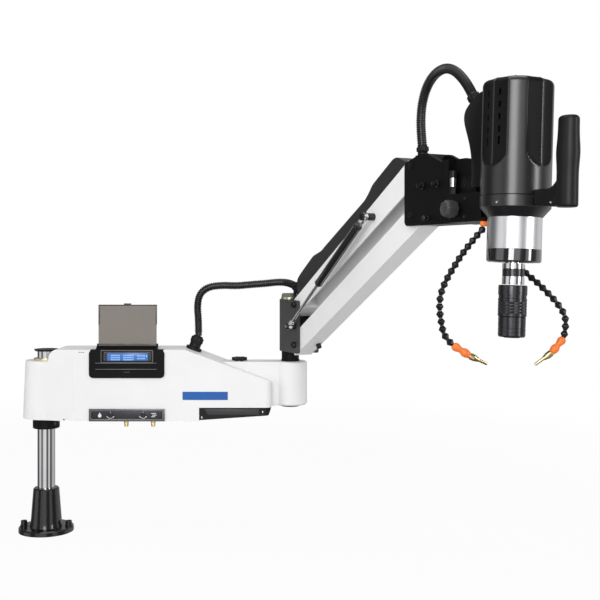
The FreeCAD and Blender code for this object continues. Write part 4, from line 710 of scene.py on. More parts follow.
# %% Modular hoses
HOSE_RADIUS = 7.7 * MM
ELEMENT_PITCH = 15.5 * MM
ELEMENT_RINGS = [(0.02, 0.0), (0.02, 0.50), (0.08, 0.60), (0.38, 1.0), (0.50, 1.0), (0.88, 0.52),
                 (0.99, 0.50), (0.99, 0.0)]
steady_hose = Vector((0, -1, 0))
shelf_place = head_place @ moved(0, 0, 857.0)


def element(shape, line, start, pitch):
    """One link of the chain: (share of the pitch, share of the radius) rings, eight sides, flat facets."""
    rings = [(start + place * pitch, max(width * HOSE_RADIUS, 1e-5)) for place, width in ELEMENT_RINGS]
    return swept(shape, line, rings, steady_hose, sides=8)


def hose(name, route, body, node):
    line = Line(spline_line(name + "_line", [shelf_place @ (Vector(p) * MM) for p in route]))
    count = round(line.length / ELEMENT_PITCH)
    pitch = line.length / count
    shape = bmesh.new()
    for index in range(count):
        element(shape, line, index * pitch, pitch)
    made = piece(shape, name, body, "black_plastic", (node,))
    print(name, count, "elements,", round(line.length, 3), "m")
    return made, line


left_route = [
    (-58.3, -29.8, -13.1), (-60.6, -38.4, -22.4), (-65.3, -57.7, -46.1), (-70.8, -76.4, -71.8),
    (-75.4, -91.2, -97.3), (-80.0, -105.9, -123.8), (-83.2, -115.6, -151.2), (-83.2, -116.8, -181.2),
    (-80.5, -112.6, -211.1), (-76.9, -106.9, -236.9), (-68.3, -91.6, -252.4)]
left_end, left_tip = (-51.5, -62.4, -272.4), (-34.1, -32.0, -287.7)
right_route = [
    (-58.3, 36.4, -10.8), (-60.0, 45.0, -39.5), (-55.5, 55.1, -75.2), (-40.7, 63.1, -101.9),
    (-19.1, 75.2, -119.5), (0.2, 87.4, -140.1), (16.0, 101.5, -161.6), (27.7, 112.1, -185.2),
    (30.8, 112.4, -208.2), (30.7, 106.5, -231.5)]
right_end, right_tip = (22.1, 83.9, -261.3), (9.5, 53.5, -285.7)
left_hose, left_line = hose("left_hose_elements", left_route, "left_hose", "hose_left")
right_hose, right_line = hose("right_hose_elements", right_route, "right_hose", "hose_right")

# %% [markdown]
# Each hose hangs from an orange screw-in foot and ends in an orange connector with two round bulges,
# which holds a brass nozzle. These are lathe shapes, set on the line from one named point to the next.

# %% Orange feet and connectors, brass nozzles
def hose_ends(side, route, line, end, tip, body, node):
    top = -route[0][2]
    foot = turned(bmesh.new(), [
        (0, 2.5), (7.0, 2.5), (8.6, 4.2), (9.0, 6.0), (9.0, top - 2.0), (8.2, top - 0.4), (0, top - 0.4)],
        shelf_place @ Matrix.Translation(Vector(route[0]) * MM), 8)
    piece(foot, side + "_hose_foot", body, "orange_plastic")
    start, end, tip = line.points[-1], shelf_place @ (Vector(end) * MM), shelf_place @ (Vector(tip) * MM)
    reach = (end - start).length / MM
    connector = turned(bmesh.new(), [(0, -1.0), (4.4, -1.0), (7.2, 1.5), (8.6, 5.0), (8.7, 8.0),
                                     (6.2, 0.42 * reach), (6.0, 0.50 * reach), (8.6, 0.64 * reach),
                                     (8.8, 0.74 * reach), (8.0, 0.86 * reach), (5.6, reach), (0, reach)],
                       standing(start, end - start), 12)
    connector = piece(connector, side + "_hose_connector", body, "orange_plastic")
    full = (tip - end).length / MM
    nozzle = turned(bmesh.new(), [
        (1.6, -0.5), (5.6, -0.5), (5.8, 0.6), (6.9, 1.2), (7.0, 9.0), (6.6, 11.0), (4.6, 18.0), (3.2, 22.0),
        (3.0, full - 0.8), (2.6, full), (1.7, full), (1.6, full - 0.6), (1.6, 4.0)],
        standing(end, tip - end), 28)
    nozzle = piece(nozzle, side + "_nozzle_turned", body, "brass", (node,))
    return connector, nozzle


left_parts = hose_ends("left", left_route, left_line, left_end, left_tip, "left_hose", "nozzle_left")
right_parts = hose_ends("right", right_route, right_line, right_end, right_tip, "right_hose",
                        "nozzle_right")

# %% [markdown]
# The chuck takes tap holders in and out without a key. Its outside is blackened steel with fine rings and
# a band of knurling that the hand grips. A knurl is made from a grid of small faces: each one is poked,
# so that its middle stands out as a pyramid.

# %% Chuck and its sliding sleeve
def knurl(shape, radius, low, high, rows, columns, height, place):
    """A ring of small pyramids between two heights."""
    part = bmesh.new()
    turned(part, [(radius, low + (high - low) * row / rows) for row in range(rows + 1)], steps=columns)
    bmesh.ops.recalc_face_normals(part, faces=part.faces)
    part.faces.ensure_lookup_table()
    middle = part.faces[0].calc_center_median()
    outward = part.faces[0].normal.dot(Vector((middle.x, middle.y, 0))) > 0
    bmesh.ops.poke(part, faces=part.faces, offset=height * MM * (1 if outward else -1))
    added(shape, part, place)


chuck_body = bmesh.new()
turned(chuck_body, [(0, 729), (26.8, 729), (28.3, 727.4), (28.5, 726), (28.5, 709.3), (27.7, 709.3),
                    (27.7, 716.6), (23.4, 716.6), (23.4, 666.7), (26.0, 666.7), (27.0, 665.6), (27.0, 645),
                    (26.6, 644.6), (26.6, 643.4), (27.0, 643), (27.0, 637), (26.6, 636.6), (26.6, 635.4),
                    (27.0, 635), (27.0, 629), (25.6, 626.8), (25.0, 626), (16.5, 626), (15.5, 624.5),
                    (10.4, 624.5), (9.5, 625.4), (9.5, 686), (0, 686)], head_place, 64)
piece(chuck_body, "chuck_turned", "tool_spindle", "black_steel", ("chuck",))
dark_ring = turned(bmesh.new(), [(19.9, 746.3), (21.2, 746.3), (21.5, 746.7), (21.5, 761.3), (21.2, 761.7),
                                 (19.9, 761.7), (19.9, 746.3)], head_place, 64)
piece(dark_ring, "spindle_dark_ring", "tool_spindle", "black_steel")

sleeve = bmesh.new()
turned(sleeve, [
    (23.5, 667), (27.6, 667), (28.4, 667.8), (28.4, 672), (27.9, 672.5), (27.9, 697.5), (28.4, 698),
    (28.4, 702.2), (27.6, 703), (27.4, 703), (27.4, 710.3), (23.5, 710.3), (23.5, 667)], head_place, 64)
for band in range(4):
    low = 673.2 + band * 6.1
    knurl(sleeve, 27.95, low, low + 4.6, 3, 72, 0.45, head_place)
piece(sleeve, "chuck_sleeve_knurled", "sleeve", "black_steel", ("chuck_sleeve",))

# %% [markdown]
# Real edges are never perfectly sharp, and a thin bright line along an edge tells the eye what a thing is
# made of. The solid parts get it from modifiers: their seams are welded, every sharp edge is rounded by
# half a millimetre, and weighted normals keep the large faces flat.

# %% Rounded edges on the solid parts
SOFT_EDGE = 0.7 * MM
PLAIN_NODES = ("arm_conduit", "head_conduit", "hose_left", "hose_right", "display_panel", "display_lid")


def soften(obj, width):
    weld = obj.modifiers.new("weld", "WELD")
    weld.merge_threshold = 1e-6
    bevel = obj.modifiers.new("bevel", "BEVEL")
    bevel.width = width
    bevel.segments = 2
    bevel.limit_method = "ANGLE"
    bevel.angle_limit = math.radians(38)
    bevel.use_clamp_overlap = True
    normals = obj.modifiers.new("normals", "WEIGHTED_NORMAL")
    normals.keep_sharp = True


for name, obj in nodes.items():
    if name not in PLAIN_NODES:
        soften(obj, SOFT_EDGE)
print("softened", len(nodes) - len(PLAIN_NODES), "solid parts")

# %% [markdown]
# The display is a small liquid crystal panel with a blue back light. Its pale cells stand in rows behind
# the window, and a stepped frame leads the eye down to it. Two grey rings outline the window, and light
# grey bars along the ledges of the bezel, with a short one below them, are painted highlight on the edges.

# %% Display, cells and window frame
panel_place = spun(90, "X")     # (x, height, distance towards the viewer)
# A light grey for the window rings, and for painted highlight on the bezel's ledge edges.
finishes["trim"] = finish("satin_grey_trim", (0.14, 0.14, 0.145), 0.35, grain=900, relief=0.00002)

field = bmesh.new()
block(field, (190.5, 495.4, 77.1), (305.5, 518.6, 77.7), panel_place, 0.2)
piece(field, "lcd_field", "first_arm", "lcd_field")

cells = bmesh.new()
for left, count, rows in ((201.0, 8, (512.4, 506.4, 500.4)), (236.0, 9, (512.4, 506.4, 500.4)),
                          (275.0, 7, (511.0, 503.6))):
    for row in rows:
        for column in range(count):
            x = left + 3.3 * column
            block(cells, (x, row - 1.9, 77.6), (x + 2.3, row + 1.9, 77.85), panel_place, 0)
block(cells, (299.6, 507.0, 77.6), (302.6, 513.0, 77.85), panel_place, 0)
piece(cells, "lcd_cells", "first_arm", "lcd_cells")

window = bmesh.new()
ring(window, rectangle(176.3, 494.3, 316.7, 526.7), 3.4, 77.2, 78.5, panel_place, 0.4)
ring(window, rectangle(180.3, 495.9, 312.7, 523.4), 2.0, 77.1, 77.9, panel_place, 0.3)
piece(window, "window_step_frame", "first_arm", "black_plastic")
# Two grey rings round the window; the bars on the ledges and the short bar below are painted highlight.
trim = bmesh.new()
ring(trim, rectangle(173.0, 491.2, 320.0, 527.4), 1.9, 79.7, 80.6, panel_place, 0.25)
ring(trim, rectangle(181.5, 493.4, 312.0, 521.6), 1.3, 77.6, 78.2, panel_place, 0.2)
for level in (491.5, 474.3):
    block(trim, (158.4, level - 1.3, 82.2), (330.6, level + 0.3, 83.2), panel_place, 0.2)
block(trim, (237.0, 465.2, 79.2), (254.0, 466.0, 80.4), panel_place, 0.2)
piece(trim, "bezel_trim_lines", "first_arm", "trim")

# %% [markdown]
# The smoked lid folds up over the panel. Where the sheet is cut, one looks along it, and so much more of
# the tint adds up there that the edge seems nearly black.

# %% Dark edges of the lid
finishes["lid_edge"] = finish("smoked_acrylic_edge", (0.035, 0.028, 0.022), 0.25, grain=600, relief=0.00001)
lid_edges = bmesh.new()
block(lid_edges, (162.0, -57.6, 651.0), (327.0, -54.5, 654.1), edge=0.3)
for edge in (162.0, 324.4):
    block(lid_edges, (edge, -57.6, 597.4), (edge + 2.6, -54.5, 651.2), edge=0.3)
block(lid_edges, (234.2, -57.4, 653.9), (254.8, -54.6, 657.9), edge=0.6)
piece(lid_edges, "lid_cut_edges", "lid", "lid_edge")

# %% [markdown]
# Under the panel a bevelled strip holds the two valves for oil and air. The words on the real strip are
# left out: a drop and three streaks of air stand for them, and an arc with two arrowheads runs round each
# valve.

# %% Valve strip: frame, face, valves and marks
STRIP = (139.5, 327.0, 352.3, 362.0)
VALVES = (200.1, 291.7)
LEVEL = 344.5
FACE = 78.6

strip_frame = bmesh.new()
ring(strip_frame, rectangle(*STRIP), 7.0, 77.3, 81.0, panel_place, 1.2, 3)
piece(strip_frame, "valve_strip_frame", "first_arm", "strip_frame", ("valve_strip",))
strip_face = bmesh.new()
block(strip_face, (145.6, 333.0, 77.3), (346.2, 356.0, FACE), panel_place, 0.2)
piece(strip_face, "valve_strip_face", "first_arm", "strip_face")

valves = bmesh.new()
marks = bmesh.new()
for x in VALVES:
    here = panel_place @ moved(x, LEVEL, FACE)
    turned(valves, [(5.4, 0), (7.0, 0), (7.0, 0.9), (6.5, 1.5), (5.4, 1.5)], here, 28)
    socket_head(valves, 4.8, 2.0, here, 0.55)
    turned(marks, [(8.4, 0), (9.6, 0), (9.6, 0.2), (8.4, 0.2), (8.4, 0)], here @ spun(208, "Z"), 18, 124)
    for side in (-1, 1):
        prism(marks, [(side * 11.0, -3.9), (side * 6.4, -3.2), (side * 9.0, -6.6)][::side], 0, 0.2, here, 0)
    block(marks, (-0.6, 6.8, 0), (0.6, 11.2, 0.2), here, 0)
bow = [math.radians(angle) for angle in range(-220, 41, 20)]
drop = [(5.0 * math.cos(angle), 5.0 * math.sin(angle) - 1.8) for angle in bow]
prism(marks, drop + [(0, 7.6)], 0, 0.2, panel_place @ moved(170, LEVEL, FACE), 0)
for row, (start, end) in enumerate(((-7, 6), (-4, 8), (-7, 4))):
    height = LEVEL + 4.6 - 4.6 * row
    block(marks, (322 + start, height - 0.9, FACE), (322 + end, height + 0.9, FACE + 0.2), panel_place, 0)
piece(valves, "strip_valves", "first_arm", "black_steel")
piece(marks, "strip_marks", "first_arm", "marks")

# %% [markdown]
# Two brass couplings screw into the housing from below: a hexagon to turn them with, and a barbed stem
# that the hose is pushed over.

# %% Brass couplings under the strip
couplings = bmesh.new()
for x in (243.0, 318.7):
    here = moved(x, -67, 326.7)
    turned(couplings, [(3.0, 0), (6.6, 0), (7.2, -0.8), (7.2, -4.6), (6.6, -5.4), (3.0, -5.4)], here, 6)
    turned(couplings, [(3.0, -5.3), (5.9, -5.3), (6.3, -7.6), (5.6, -8.0), (6.3, -9.8), (5.6, -10.2),
                       (6.3, -12.0), (5.6, -12.4), (5.9, -14.0), (5.3, -15.4), (3.6, -15.4), (3.4, -6.0)],
           here, 28)
piece(couplings, "panel_couplings_turned", "first_arm", "brass", ("panel_fittings",))

# %% [markdown]
# The black insert under the end of the housing has a sunk panel with one slanting side. It is held by
# small bright screws, and so is the enamel plate above it, which stays bare.

# %% Insert panel and small screws of the housing
finishes["insert"] = finish("dark_grey_moulding", (0.035, 0.035, 0.037), 0.42, grain=900, relief=0.00004)
insert = bmesh.new()
prism(insert, [(474.0, 344.4), (617.6, 344.4), (617.6, 361.4), (464.4, 361.4)], 75.1, 76.2, panel_place,
      0.4)
piece(insert, "insert_sunk_panel", "first_arm", "insert")

screws("insert_screws", "first_arm", "bright_steel", 2.6, 1.2,
       [panel_place @ moved(x, z, 77) for x, z in ((628.5, 353.0), (457.0, 337.5))])
dark_screws = bmesh.new()
for x in (112.0, 118.0, 124.0):
    socket_head(dark_screws, 1.6, 0.5, panel_place @ moved(x, 521, 77))
for x in (100.0, 240.0, 380.0, 600.0):
    for z in (352.0, 455.0 if x > 400 else 505.0):
        socket_head(dark_screws, 3.2, 1.4, moved(x, 68, z) @ spun(-90, "X"))
piece(dark_screws, "housing_screws", "first_arm", "black_steel")

# %% [markdown]
# Knobs and cable nuts have lobes so that the hand can turn them. Their outline is a circle whose radius
# rises and falls; the prism made from it gets a dish by an inset that is pushed down.

# %% Lobed outlines and dished knobs
def lobed(count, radius, depth, steps=10):
    """An outline whose radius swings between radius - depth and radius."""
    total = count * steps
    swing = [radius - depth / 2 + depth / 2 * math.cos(2 * math.pi * k / steps) for k in range(total)]
    return [(far * math.cos(2 * math.pi * k / total), far * math.sin(2 * math.pi * k / total))
            for k, far in enumerate(swing)]


def knob(shape, outline, low, high, rim, dish, place, edge=1.0):
    part = bmesh.new()
    face = outlined(part, outline, low)
    top = faces_of(raised(part, [face], high - low))[0]
    bmesh.ops.inset_region(part, faces=[top], thickness=rim * MM)
    bmesh.ops.translate(part, vec=(0, 0, -dish * MM), verts=top.verts)
    rounded(part, edge, 2, sharp_edges(part, 0.8))
    return added(shape, part, place)


lock = bmesh.new()
lock_place = moved(558, 0, 490.3)
knob(lock, lobed(6, 22.0, 6.0, 12), 1.2, 10.5, 6.0, 3.4, lock_place, 0.9)
turned(lock, [(0, 0), (11.5, 0), (11.5, 1.6), (0, 1.6)], lock_place, 32)
turned(lock, [(0, -17.5), (5.0, -17.5), (5.0, 1.0), (0, 1.0)], lock_place, 24)
socket_head(lock, 5.0, 2.2, lock_place @ moved(0, 0, 6.9), 0.55)
piece(lock, "lock_knob_lobed", "lock_knob", "matte_black", ("arm_lock_knob",))

tilt = math.atan2(528 - 437.5, 652 - 409)
gland_length = (561.7 - (528 - (440 - 409) * math.tan(tilt))) * math.cos(tilt)
gland_place = moved(440, 0, 561.7) @ Matrix.Rotation(tilt, 4, "Y") @ moved(0, 0, -gland_length)
gland = bmesh.new()
turned(gland, [(9.9, 0.35), (22.4, 0.35), (23.0, 1.0), (23.0, 6.6), (21.6, 8.0), (17.4, 8.6), (16.4, 10.0),
               (16.4, 23.0), (9.9, 23.0)], gland_place, 36)
knob(gland, lobed(12, 18.4, 2.2, 8), 22.0, 37.0, 3.0, 0.0, gland_place, 1.0)
turned(gland, [(9.9, 36.0), (15.6, 36.0), (15.2, 38.5), (12.6, 42.2), (9.9, 42.6)], gland_place, 36)
for angle in (45, 135, 225, 315):
    socket_head(gland, 2.4, 1.6, gland_place @ spun(angle, "Z") @ moved(19.4, 0, 7.6))
piece(gland, "arm_gland_lobed", "first_arm", "matte_black", ("arm_gland",))

# %% [markdown]
# Corrugated conduits end in nuts that grip the last rib. The one over the head bracket stands on its own
# small socket, and the ones at the far ends are pushed over the conduit.

# %% Nuts and sockets at the ends of the conduits
def end_nut(name, body, line, distance, outward, radius=14.5, length=17.0, node=()):
    """A lobed nut round a conduit, its Z along the line or against it."""
    point, axis = line.at(distance)
    here = standing(point, axis if outward else -axis)
    shape = bmesh.new()
    knob(shape, lobed(10, radius, 1.8, 8), 2.0, length - 3.0, 2.6, 0.0, here, 0.8)
    turned(shape, [(9.8, 0), (radius - 3, 0), (radius - 2.2, 2.2), (9.8, 2.2)], here, 28)
    turned(shape, [(11.1, length - 3.2), (radius - 2.6, length - 3.2), (radius - 3.0, length),
                   (11.1, length)], here, 28)
    piece(shape, name, body, "matte_black", node)


end_nut("bracket_gland_nut", "head_bracket", head_line, 0.0, True, 14.0, 15.0, ("bracket_gland",))
end_nut("head_conduit_nut", "tapping_head", head_line, head_line.length, False)
end_nut("arm_conduit_nut", "elbow", arm_line, arm_line.length, False)
saddle = bmesh.new()
saddle_point, saddle_axis = arm_line.at(arm_line.length - 22 * MM)
turned(saddle, [(11.2, -4), (13.2, -4), (13.6, -3.5), (13.6, 3.5), (13.2, 4), (11.2, 4), (11.2, -4)],
       standing(saddle_point, saddle_axis), 32)
ahead, side, height = arm_place.inverted() @ saddle_point / MM
WEB_TOP = 668.0
block(saddle, (ahead - 4, side - 8, WEB_TOP), (ahead + 4, side + 8, height - 11.4), arm_place, 0.8)
block(saddle, (ahead - 12, side - 14, WEB_TOP), (ahead + 5, side + 14, WEB_TOP + 3), arm_place, 0.8)
piece(saddle, "conduit_saddle", "elbow", "black_steel")
gland_foot = bmesh.new()
turned(gland_foot, [(8.1, 1016.1), (12.0, 1016.1), (12.0, 1021.2), (11.2, 1022.0), (8.1, 1022.0)],
       arm_place @ moved(698.0, -12, 0), 32)
piece(gland_foot, "bracket_gland_foot", "head_bracket", "matte_black")

# %% [markdown]
# The collar under the arm is split, and a screw across the slot clamps it to the column.

# %% Clamp screw of the collar
screws("collar_clamp_screw", "stand", "black_steel", 4.6, 5.0,
       [moved(29.5, -22.0, 311.5) @ spun(90, "X")], 0.55)

# %% [markdown]
# Screws on the brackets sit in counterbores, so only a dark ring and a hexagon show. Each place is given
# ahead of the elbow and up, on the near or the far side of the arm.

# %% Screws of both brackets
def arm_side(ahead, side, height, place=arm_place):
    """A place on a flank of the arm; Z points away from the arm, to the near side when side is negative."""
    return place @ moved(ahead, side, height) @ spun(90 if side < 0 else -90, "X")


FAR = 681.93
screws("elbow_bracket_screws", "elbow", "black_steel", 5.0, 1.6,
       [arm_side(ahead, 33.3, height) for height in (534.0, 652.0) for ahead in (52.0, 28.0)], 0.58, 0.9)
plate_screws = ((100.0, 901.0), (100.0, 978.0), (36.0, 869.0), (36.0, 1004.0))
screws("bracket_plate_screws", "head_bracket", "black_steel", 5.2, 2.4,
       [arm_side(FAR + ahead, 35.3, height) for ahead, height in plate_screws], 0.56, 0.8)

adjusters = bmesh.new()
for ahead, height in ((53.0, 944.0), (109.0, 945.0)):
    here = arm_side(FAR + ahead, -35.3, height)
    turned(adjusters, [(0, 0), (7.6, 0), (8.6, 0.8), (8.6, 4.6), (7.6, 5.4), (0, 5.4)], here, 6)
    turned(adjusters, [(0, 5), (4.4, 5), (4.4, 10.0), (0, 10.0)], here, 20)
    socket_head(adjusters, 5.0, 6.4, here @ moved(0, 0, 9.6))
here = arm_side(FAR + 71.0, -35.3, 872.0)
turned(adjusters, [(0, 0), (5.0, 0), (5.0, 2.0), (3.2, 3.0), (3.2, 5.2), (4.8, 6.6), (5.9, 8.8),
                   (6.3, 11.0), (5.9, 13.2), (4.6, 15.2), (2.4, 16.3), (0, 16.6)], here, 24)
piece(adjusters, "bracket_adjusters", "head_bracket", "black_steel", ("bracket_screws",))

# %% [markdown]
# A gas spring carries the weight of the head. A ring of crimped metal closes the lower end of its tube,
# and a hexagon joins the bright rod to the eye on the stud. The ring leaves the rod some room, because
# rod and tube each turn by a joint of their own and stray from one line by a few millimetres at the ends
# of the lift.

# %% Ends of the gas spring
SPRING_SIDE = -51.0
STUD_HEIGHT = 596.0
PIN_ALONG, PIN_DROP = 469.4, 6
TUBE_START, TUBE_LENGTH = 38.0, 251.0

rise = LINK_RISE
pin_ahead = LINK_PIVOT + PIN_ALONG * math.cos(rise) + PIN_DROP * math.sin(rise)
pin_height = UPPER_PIVOT_HEIGHT + PIN_ALONG * math.sin(rise) - PIN_DROP * math.cos(rise)
spring_foot = arm_place @ (Vector((LINK_PIVOT, SPRING_SIDE, STUD_HEIGHT)) * MM)
spring_head = arm_place @ (Vector((pin_ahead, SPRING_SIDE, pin_height)) * MM)
spring_place = standing(spring_foot, spring_head - spring_foot)
spring_length = (spring_head - spring_foot).length / MM
tube_low = spring_length - TUBE_START - TUBE_LENGTH
seal = bmesh.new()
turned(seal, [(8.7, tube_low - 1.2), (8.7, tube_low - 2.2), (9.4, tube_low - 2.2), (10.2, tube_low - 0.6),
              (10.9, tube_low + 1.0), (10.9, tube_low + 7.0), (10.3, tube_low + 8.2)], spring_place, 36)
turned(seal, [(10.3, spring_length - 43.0), (10.9, spring_length - 42.0), (10.9, spring_length - 38.0),
              (9.6, spring_length - 35.0), (6.0, spring_length - 33.5), (5.2, spring_length - 33.0)],
       spring_place, 36)
piece(seal, "spring_crimped_ends", "spring_tube", "black_steel")
rod_end = bmesh.new()
turned(rod_end, [(4.6, 10.5), (7.2, 10.5), (7.9, 11.5), (7.9, 22.0), (7.2, 23.0), (4.6, 23.0)],
       spring_place, 6)
turned(rod_end, [(4.6, 23.0), (6.0, 23.0), (6.0, 26.5), (4.6, 28.0)], spring_place, 24)
piece(rod_end, "spring_rod_end", "spring_rod", "bright_steel")
top_eye = bmesh.new()
turned(top_eye, [(4.9, spring_length - 33.4), (6.6, spring_length - 33.4), (7.4, spring_length - 32.0),
                 (7.4, spring_length - 13.0), (6.2, spring_length - 10.4), (4.9, spring_length - 10.0)],
       spring_place, 6)
eye_place = arm_side(pin_ahead, SPRING_SIDE, pin_height)
turned(top_eye, [(9.3, -5.2), (10.3, -5.0), (10.4, -4.4), (10.4, 4.4), (10.3, 5.0), (9.3, 5.2),
                 (9.3, -5.2)], eye_place, 36)
piece(top_eye, "spring_top_eye", "spring_tube", "bright_steel")
stud_cap = turned(bmesh.new(), [(0, 0), (4.4, 0), (4.4, 0.9), (3.4, 1.7), (0, 1.9)],
                  arm_side(LINK_PIVOT, -61.3, STUD_HEIGHT), 24)
piece(stud_cap, "spring_stud_cap", "elbow", "bright_steel")

# %% [markdown]
# The cable cover is folded sheet. A narrow flange on each side rests on the white link and takes the
# screws.

# %% Flanges and screws of the cable cover
link_side = link_place @ spun(90, "X")
flanges = bmesh.new()
for low, high in ((19.8, 22.6), (-22.6, -19.8)):
    prism(flanges, [(14.0, 22.2), (640.0, 24.7), (640.0, 26.9), (14.0, 24.4)], low, high, link_side, 0.3)
piece(flanges, "cover_flanges", "upper_arm", "grey_black_paint")
screws("cover_screws", "upper_arm", "black_steel", 3.2, 1.8,
       [arm_side(along, 20.0, 33.0, link_place) for along in (70.0, 250.0, 430.0, 600.0)])

# %% [markdown]
# The tilt knob locks the head at its angle. It is an eight-sided grip with a dished end. Above it stands
# the index plunger: one pulls its black cap, and the bright barrel slides up out of the hole.

# %% Tilt knob, index plunger and carrier screws
CARRIER_FACE = FAR + 124.0 + 23.8 + 0.3
knob_grip = bmesh.new()
here = arm_side(CARRIER_FACE + 33.0, -38.6, 884.5, carrier_place)
turned(knob_grip, [(0, 0), (9.5, 0), (9.5, 2.6), (16.4, 3.2), (18.2, 5.2), (18.5, 8.0), (18.5, 24.0),
                   (17.8, 27.5), (15.0, 30.6), (11.0, 31.7), (10.0, 30.2), (0, 29.6)], here, 8)
socket_head(knob_grip, 5.2, 1.9, here @ moved(0, 0, 29.6))
piece(knob_grip, "tilt_knob_faceted", "tilt_knob", "grey_black_paint", ("tilt_knob",))

plunger_place = carrier_place @ moved(CARRIER_FACE + 11.0, -32.0, 0)
barrel = bmesh.new()
turned(barrel, [(0, 905.4), (3.6, 905.4), (4.0, 906.0), (4.0, 917.6), (6.4, 917.6), (6.4, 932.6),
                (7.3, 933.4), (7.3, 938.0), (6.9, 938.5), (6.9, 939.7), (7.3, 940.2), (7.3, 952.4),
                (6.4, 953.0), (0, 953.0)], plunger_place, 32)
piece(barrel, "plunger_barrel", "plunger", "bright_steel", ("index_plunger",))
grips = bmesh.new()
turned(grips, [(6.5, 917.4), (8.2, 917.4), (8.6, 917.9), (8.6, 931.8), (7.8, 932.8), (6.5, 932.8)],
       plunger_place, 6)
turned(grips, [(0, 953.0), (7.4, 953.0), (8.6, 954.6), (8.6, 965.0), (7.8, 967.4), (5.0, 968.3),
               (0, 968.3)], plunger_place, 24)
piece(grips, "plunger_grips", "plunger", "matte_black")

carrier_places = [arm_side(CARRIER_FACE + ahead, side, height, carrier_place)
                  for ahead, height in ((12.0, 868.0), (64.0, 868.0), (64.0, 906.0))
                  for side in (-38.0, 38.0)]
screws("carrier_screws", "tapping_head", "black_steel", 4.2, 2.0, carrier_places, 0.55)

# %% [markdown]
# Screws and the latch on the round head are set by their angle about the spindle's axis and their height.

# %% Latch and screws on the head
def radial(angle, radius, height):
    """A place on the outside of the head, its Z pointing away from the spindle's axis."""
    return head_place @ spun(angle, "Z") @ moved(radius, 0, height) @ spun(90, "Y")


screws("collar_bright_screws", "tapping_head", "bright_steel", 2.4, 1.4,
       [arm_side(952.0, -38.0, 892.0, carrier_place), radial(-68.7, 70.3, 889.0),
        radial(111.3, 70.3, 889.0)])
latch = bmesh.new()
block(latch, (-4.0, -7.0, -1.0), (4.0, 7.0, 2.6), radial(-5.4, 70.0, 902.0), 0.8)
for angle in (45, 135, 225, 315):
    socket_head(latch, 3.4, 1.6, head_place @ spun(angle, "Z") @ moved(50, 0, 1136))
piece(latch, "cover_latch_and_screws", "tapping_head", "black_plastic")

# %% [markdown]
# The motor cover is one moulding with four pairs of broad flutes, which end below in a round bow. It is
# made from rings that are extruded upwards, and each point of a ring is drawn in by the depth of the
# flute there. Rows of small slots let the air through two of the pairs; their faces are pushed in and
# then taken out.

# %% Motor cover with flutes and slots
COLUMNS = 168
PAIRS = (6.0, 96.0, 186.0, 276.0)
PAIR_HALF = 30.0
RIDGE_HALF = 1.8
FLUTE_END, FLUTE_BOW, COVER_LOW, COVER_HIGH = 961.0, 29.0, 904.4, 1136.0


def from_ridge(angle):
    """Degrees from the ridge in the middle of the nearest pair of flutes."""
    return min(abs((angle - pair + 180) % 360 - 180) for pair in PAIRS)


def flute_depth(angle, z):
    """How far the skin is drawn in at an angle and a height."""
    offset = from_ridge(angle)
    rise = min(max((z - FLUTE_END) / FLUTE_BOW, 0.0), 1.0)
    half = PAIR_HALF * math.sqrt(1 - (1 - rise) ** 2)
    if half < 0.5 or offset >= half:
        return 0.0
    across = offset / half
    return (1.6 * (1 - across) + 14.0 * across * (1 - across)) * half / PAIR_HALF


heights = [COVER_LOW, COVER_LOW + 1.2] + [COVER_LOW + 1.2 + 5.6 * step for step in range(1, 10)]
heights += [FLUTE_END + 2.9 * step for step in range(11)]
heights += [FLUTE_END + FLUTE_BOW + 4.04 * step for step in range(1, 34)]
skin_rings = [(z, 70.0 if index else 69.0) for index, z in enumerate(heights)]
skin_rings += [(1126.6, 69.4), (1129.4, 68.3), (1132.0, 66.0), (1134.2, 62.8), (1135.5, 59.8),
               (COVER_HIGH, 57.0)]
skin = bmesh.new()
made = bmesh.ops.create_circle(skin, segments=COLUMNS, radius=1.0)
verts = made["verts"]
loop = edges_round(verts)
for z, radius in skin_rings:
    if z > COVER_LOW:
        made = bmesh.ops.extrude_edge_only(skin, edges=loop)["geom"]
        verts = verts_of(made)
        loop = edges_of(made)
    for vert in verts:
        angle = math.atan2(vert.co.y, vert.co.x)
        drawn = (radius - flute_depth(math.degrees(angle), z)) * MM
        vert.co = (drawn * math.cos(angle), drawn * math.sin(angle), z * MM)
bmesh.ops.contextual_create(skin, geom=loop)
slot_faces = []
for face in skin.faces:
    middle = face.calc_center_median()
    angle = math.degrees(math.atan2(middle.y, middle.x))
    fluted = flute_depth(angle, middle.z / MM) > 0.4 and from_ridge(angle) > RIDGE_HALF
    face.material_index = int(fluted and middle.z < 1.134)
    for pair in PAIRS[1::2]:
        offset = abs((angle - pair + 180) % 360 - 180)
        for row in range(5):
            if abs(offset - 13.9) < 2.2 and abs(middle.z / MM - 1107.0 + 24.2 * row) < 6.1:
                slot_faces.append(face)
made = bmesh.ops.extrude_face_region(skin, geom=slot_faces)["geom"]
for vert in verts_of(made):
    vert.co = (vert.co.x * 0.955, vert.co.y * 0.955, vert.co.z)
floors = faces_of(made)
left_over = [face for face in slot_faces if face.is_valid]
bmesh.ops.delete(skin, geom=floors + left_over, context="FACES_ONLY")
print(len(floors), "slot floors opened,", len(left_over), "faces left over")
motor_skin = added(bmesh.new(), skin, head_place)
motor_skin = piece(motor_skin, "motor_cover_fluted", "tapping_head", "satin_cover",
                   ("motor_cover",))
motor_skin.data.materials.append(finishes["flute_black"])
seam = turned(bmesh.new(), [(66.5, 903.6), (69.2, 903.6), (69.2, 905.0), (66.5, 905.0), (66.5, 903.6)],
              head_place, 96)
piece(seam, "cover_seam", "tapping_head", "black_paint")

# %% [markdown]
# Behind the motor a cover hides the plug. Seen from the side its back is one soft S. Its outline is a
# smooth curve through a few places, and it is pulled out across the arm like any prism.

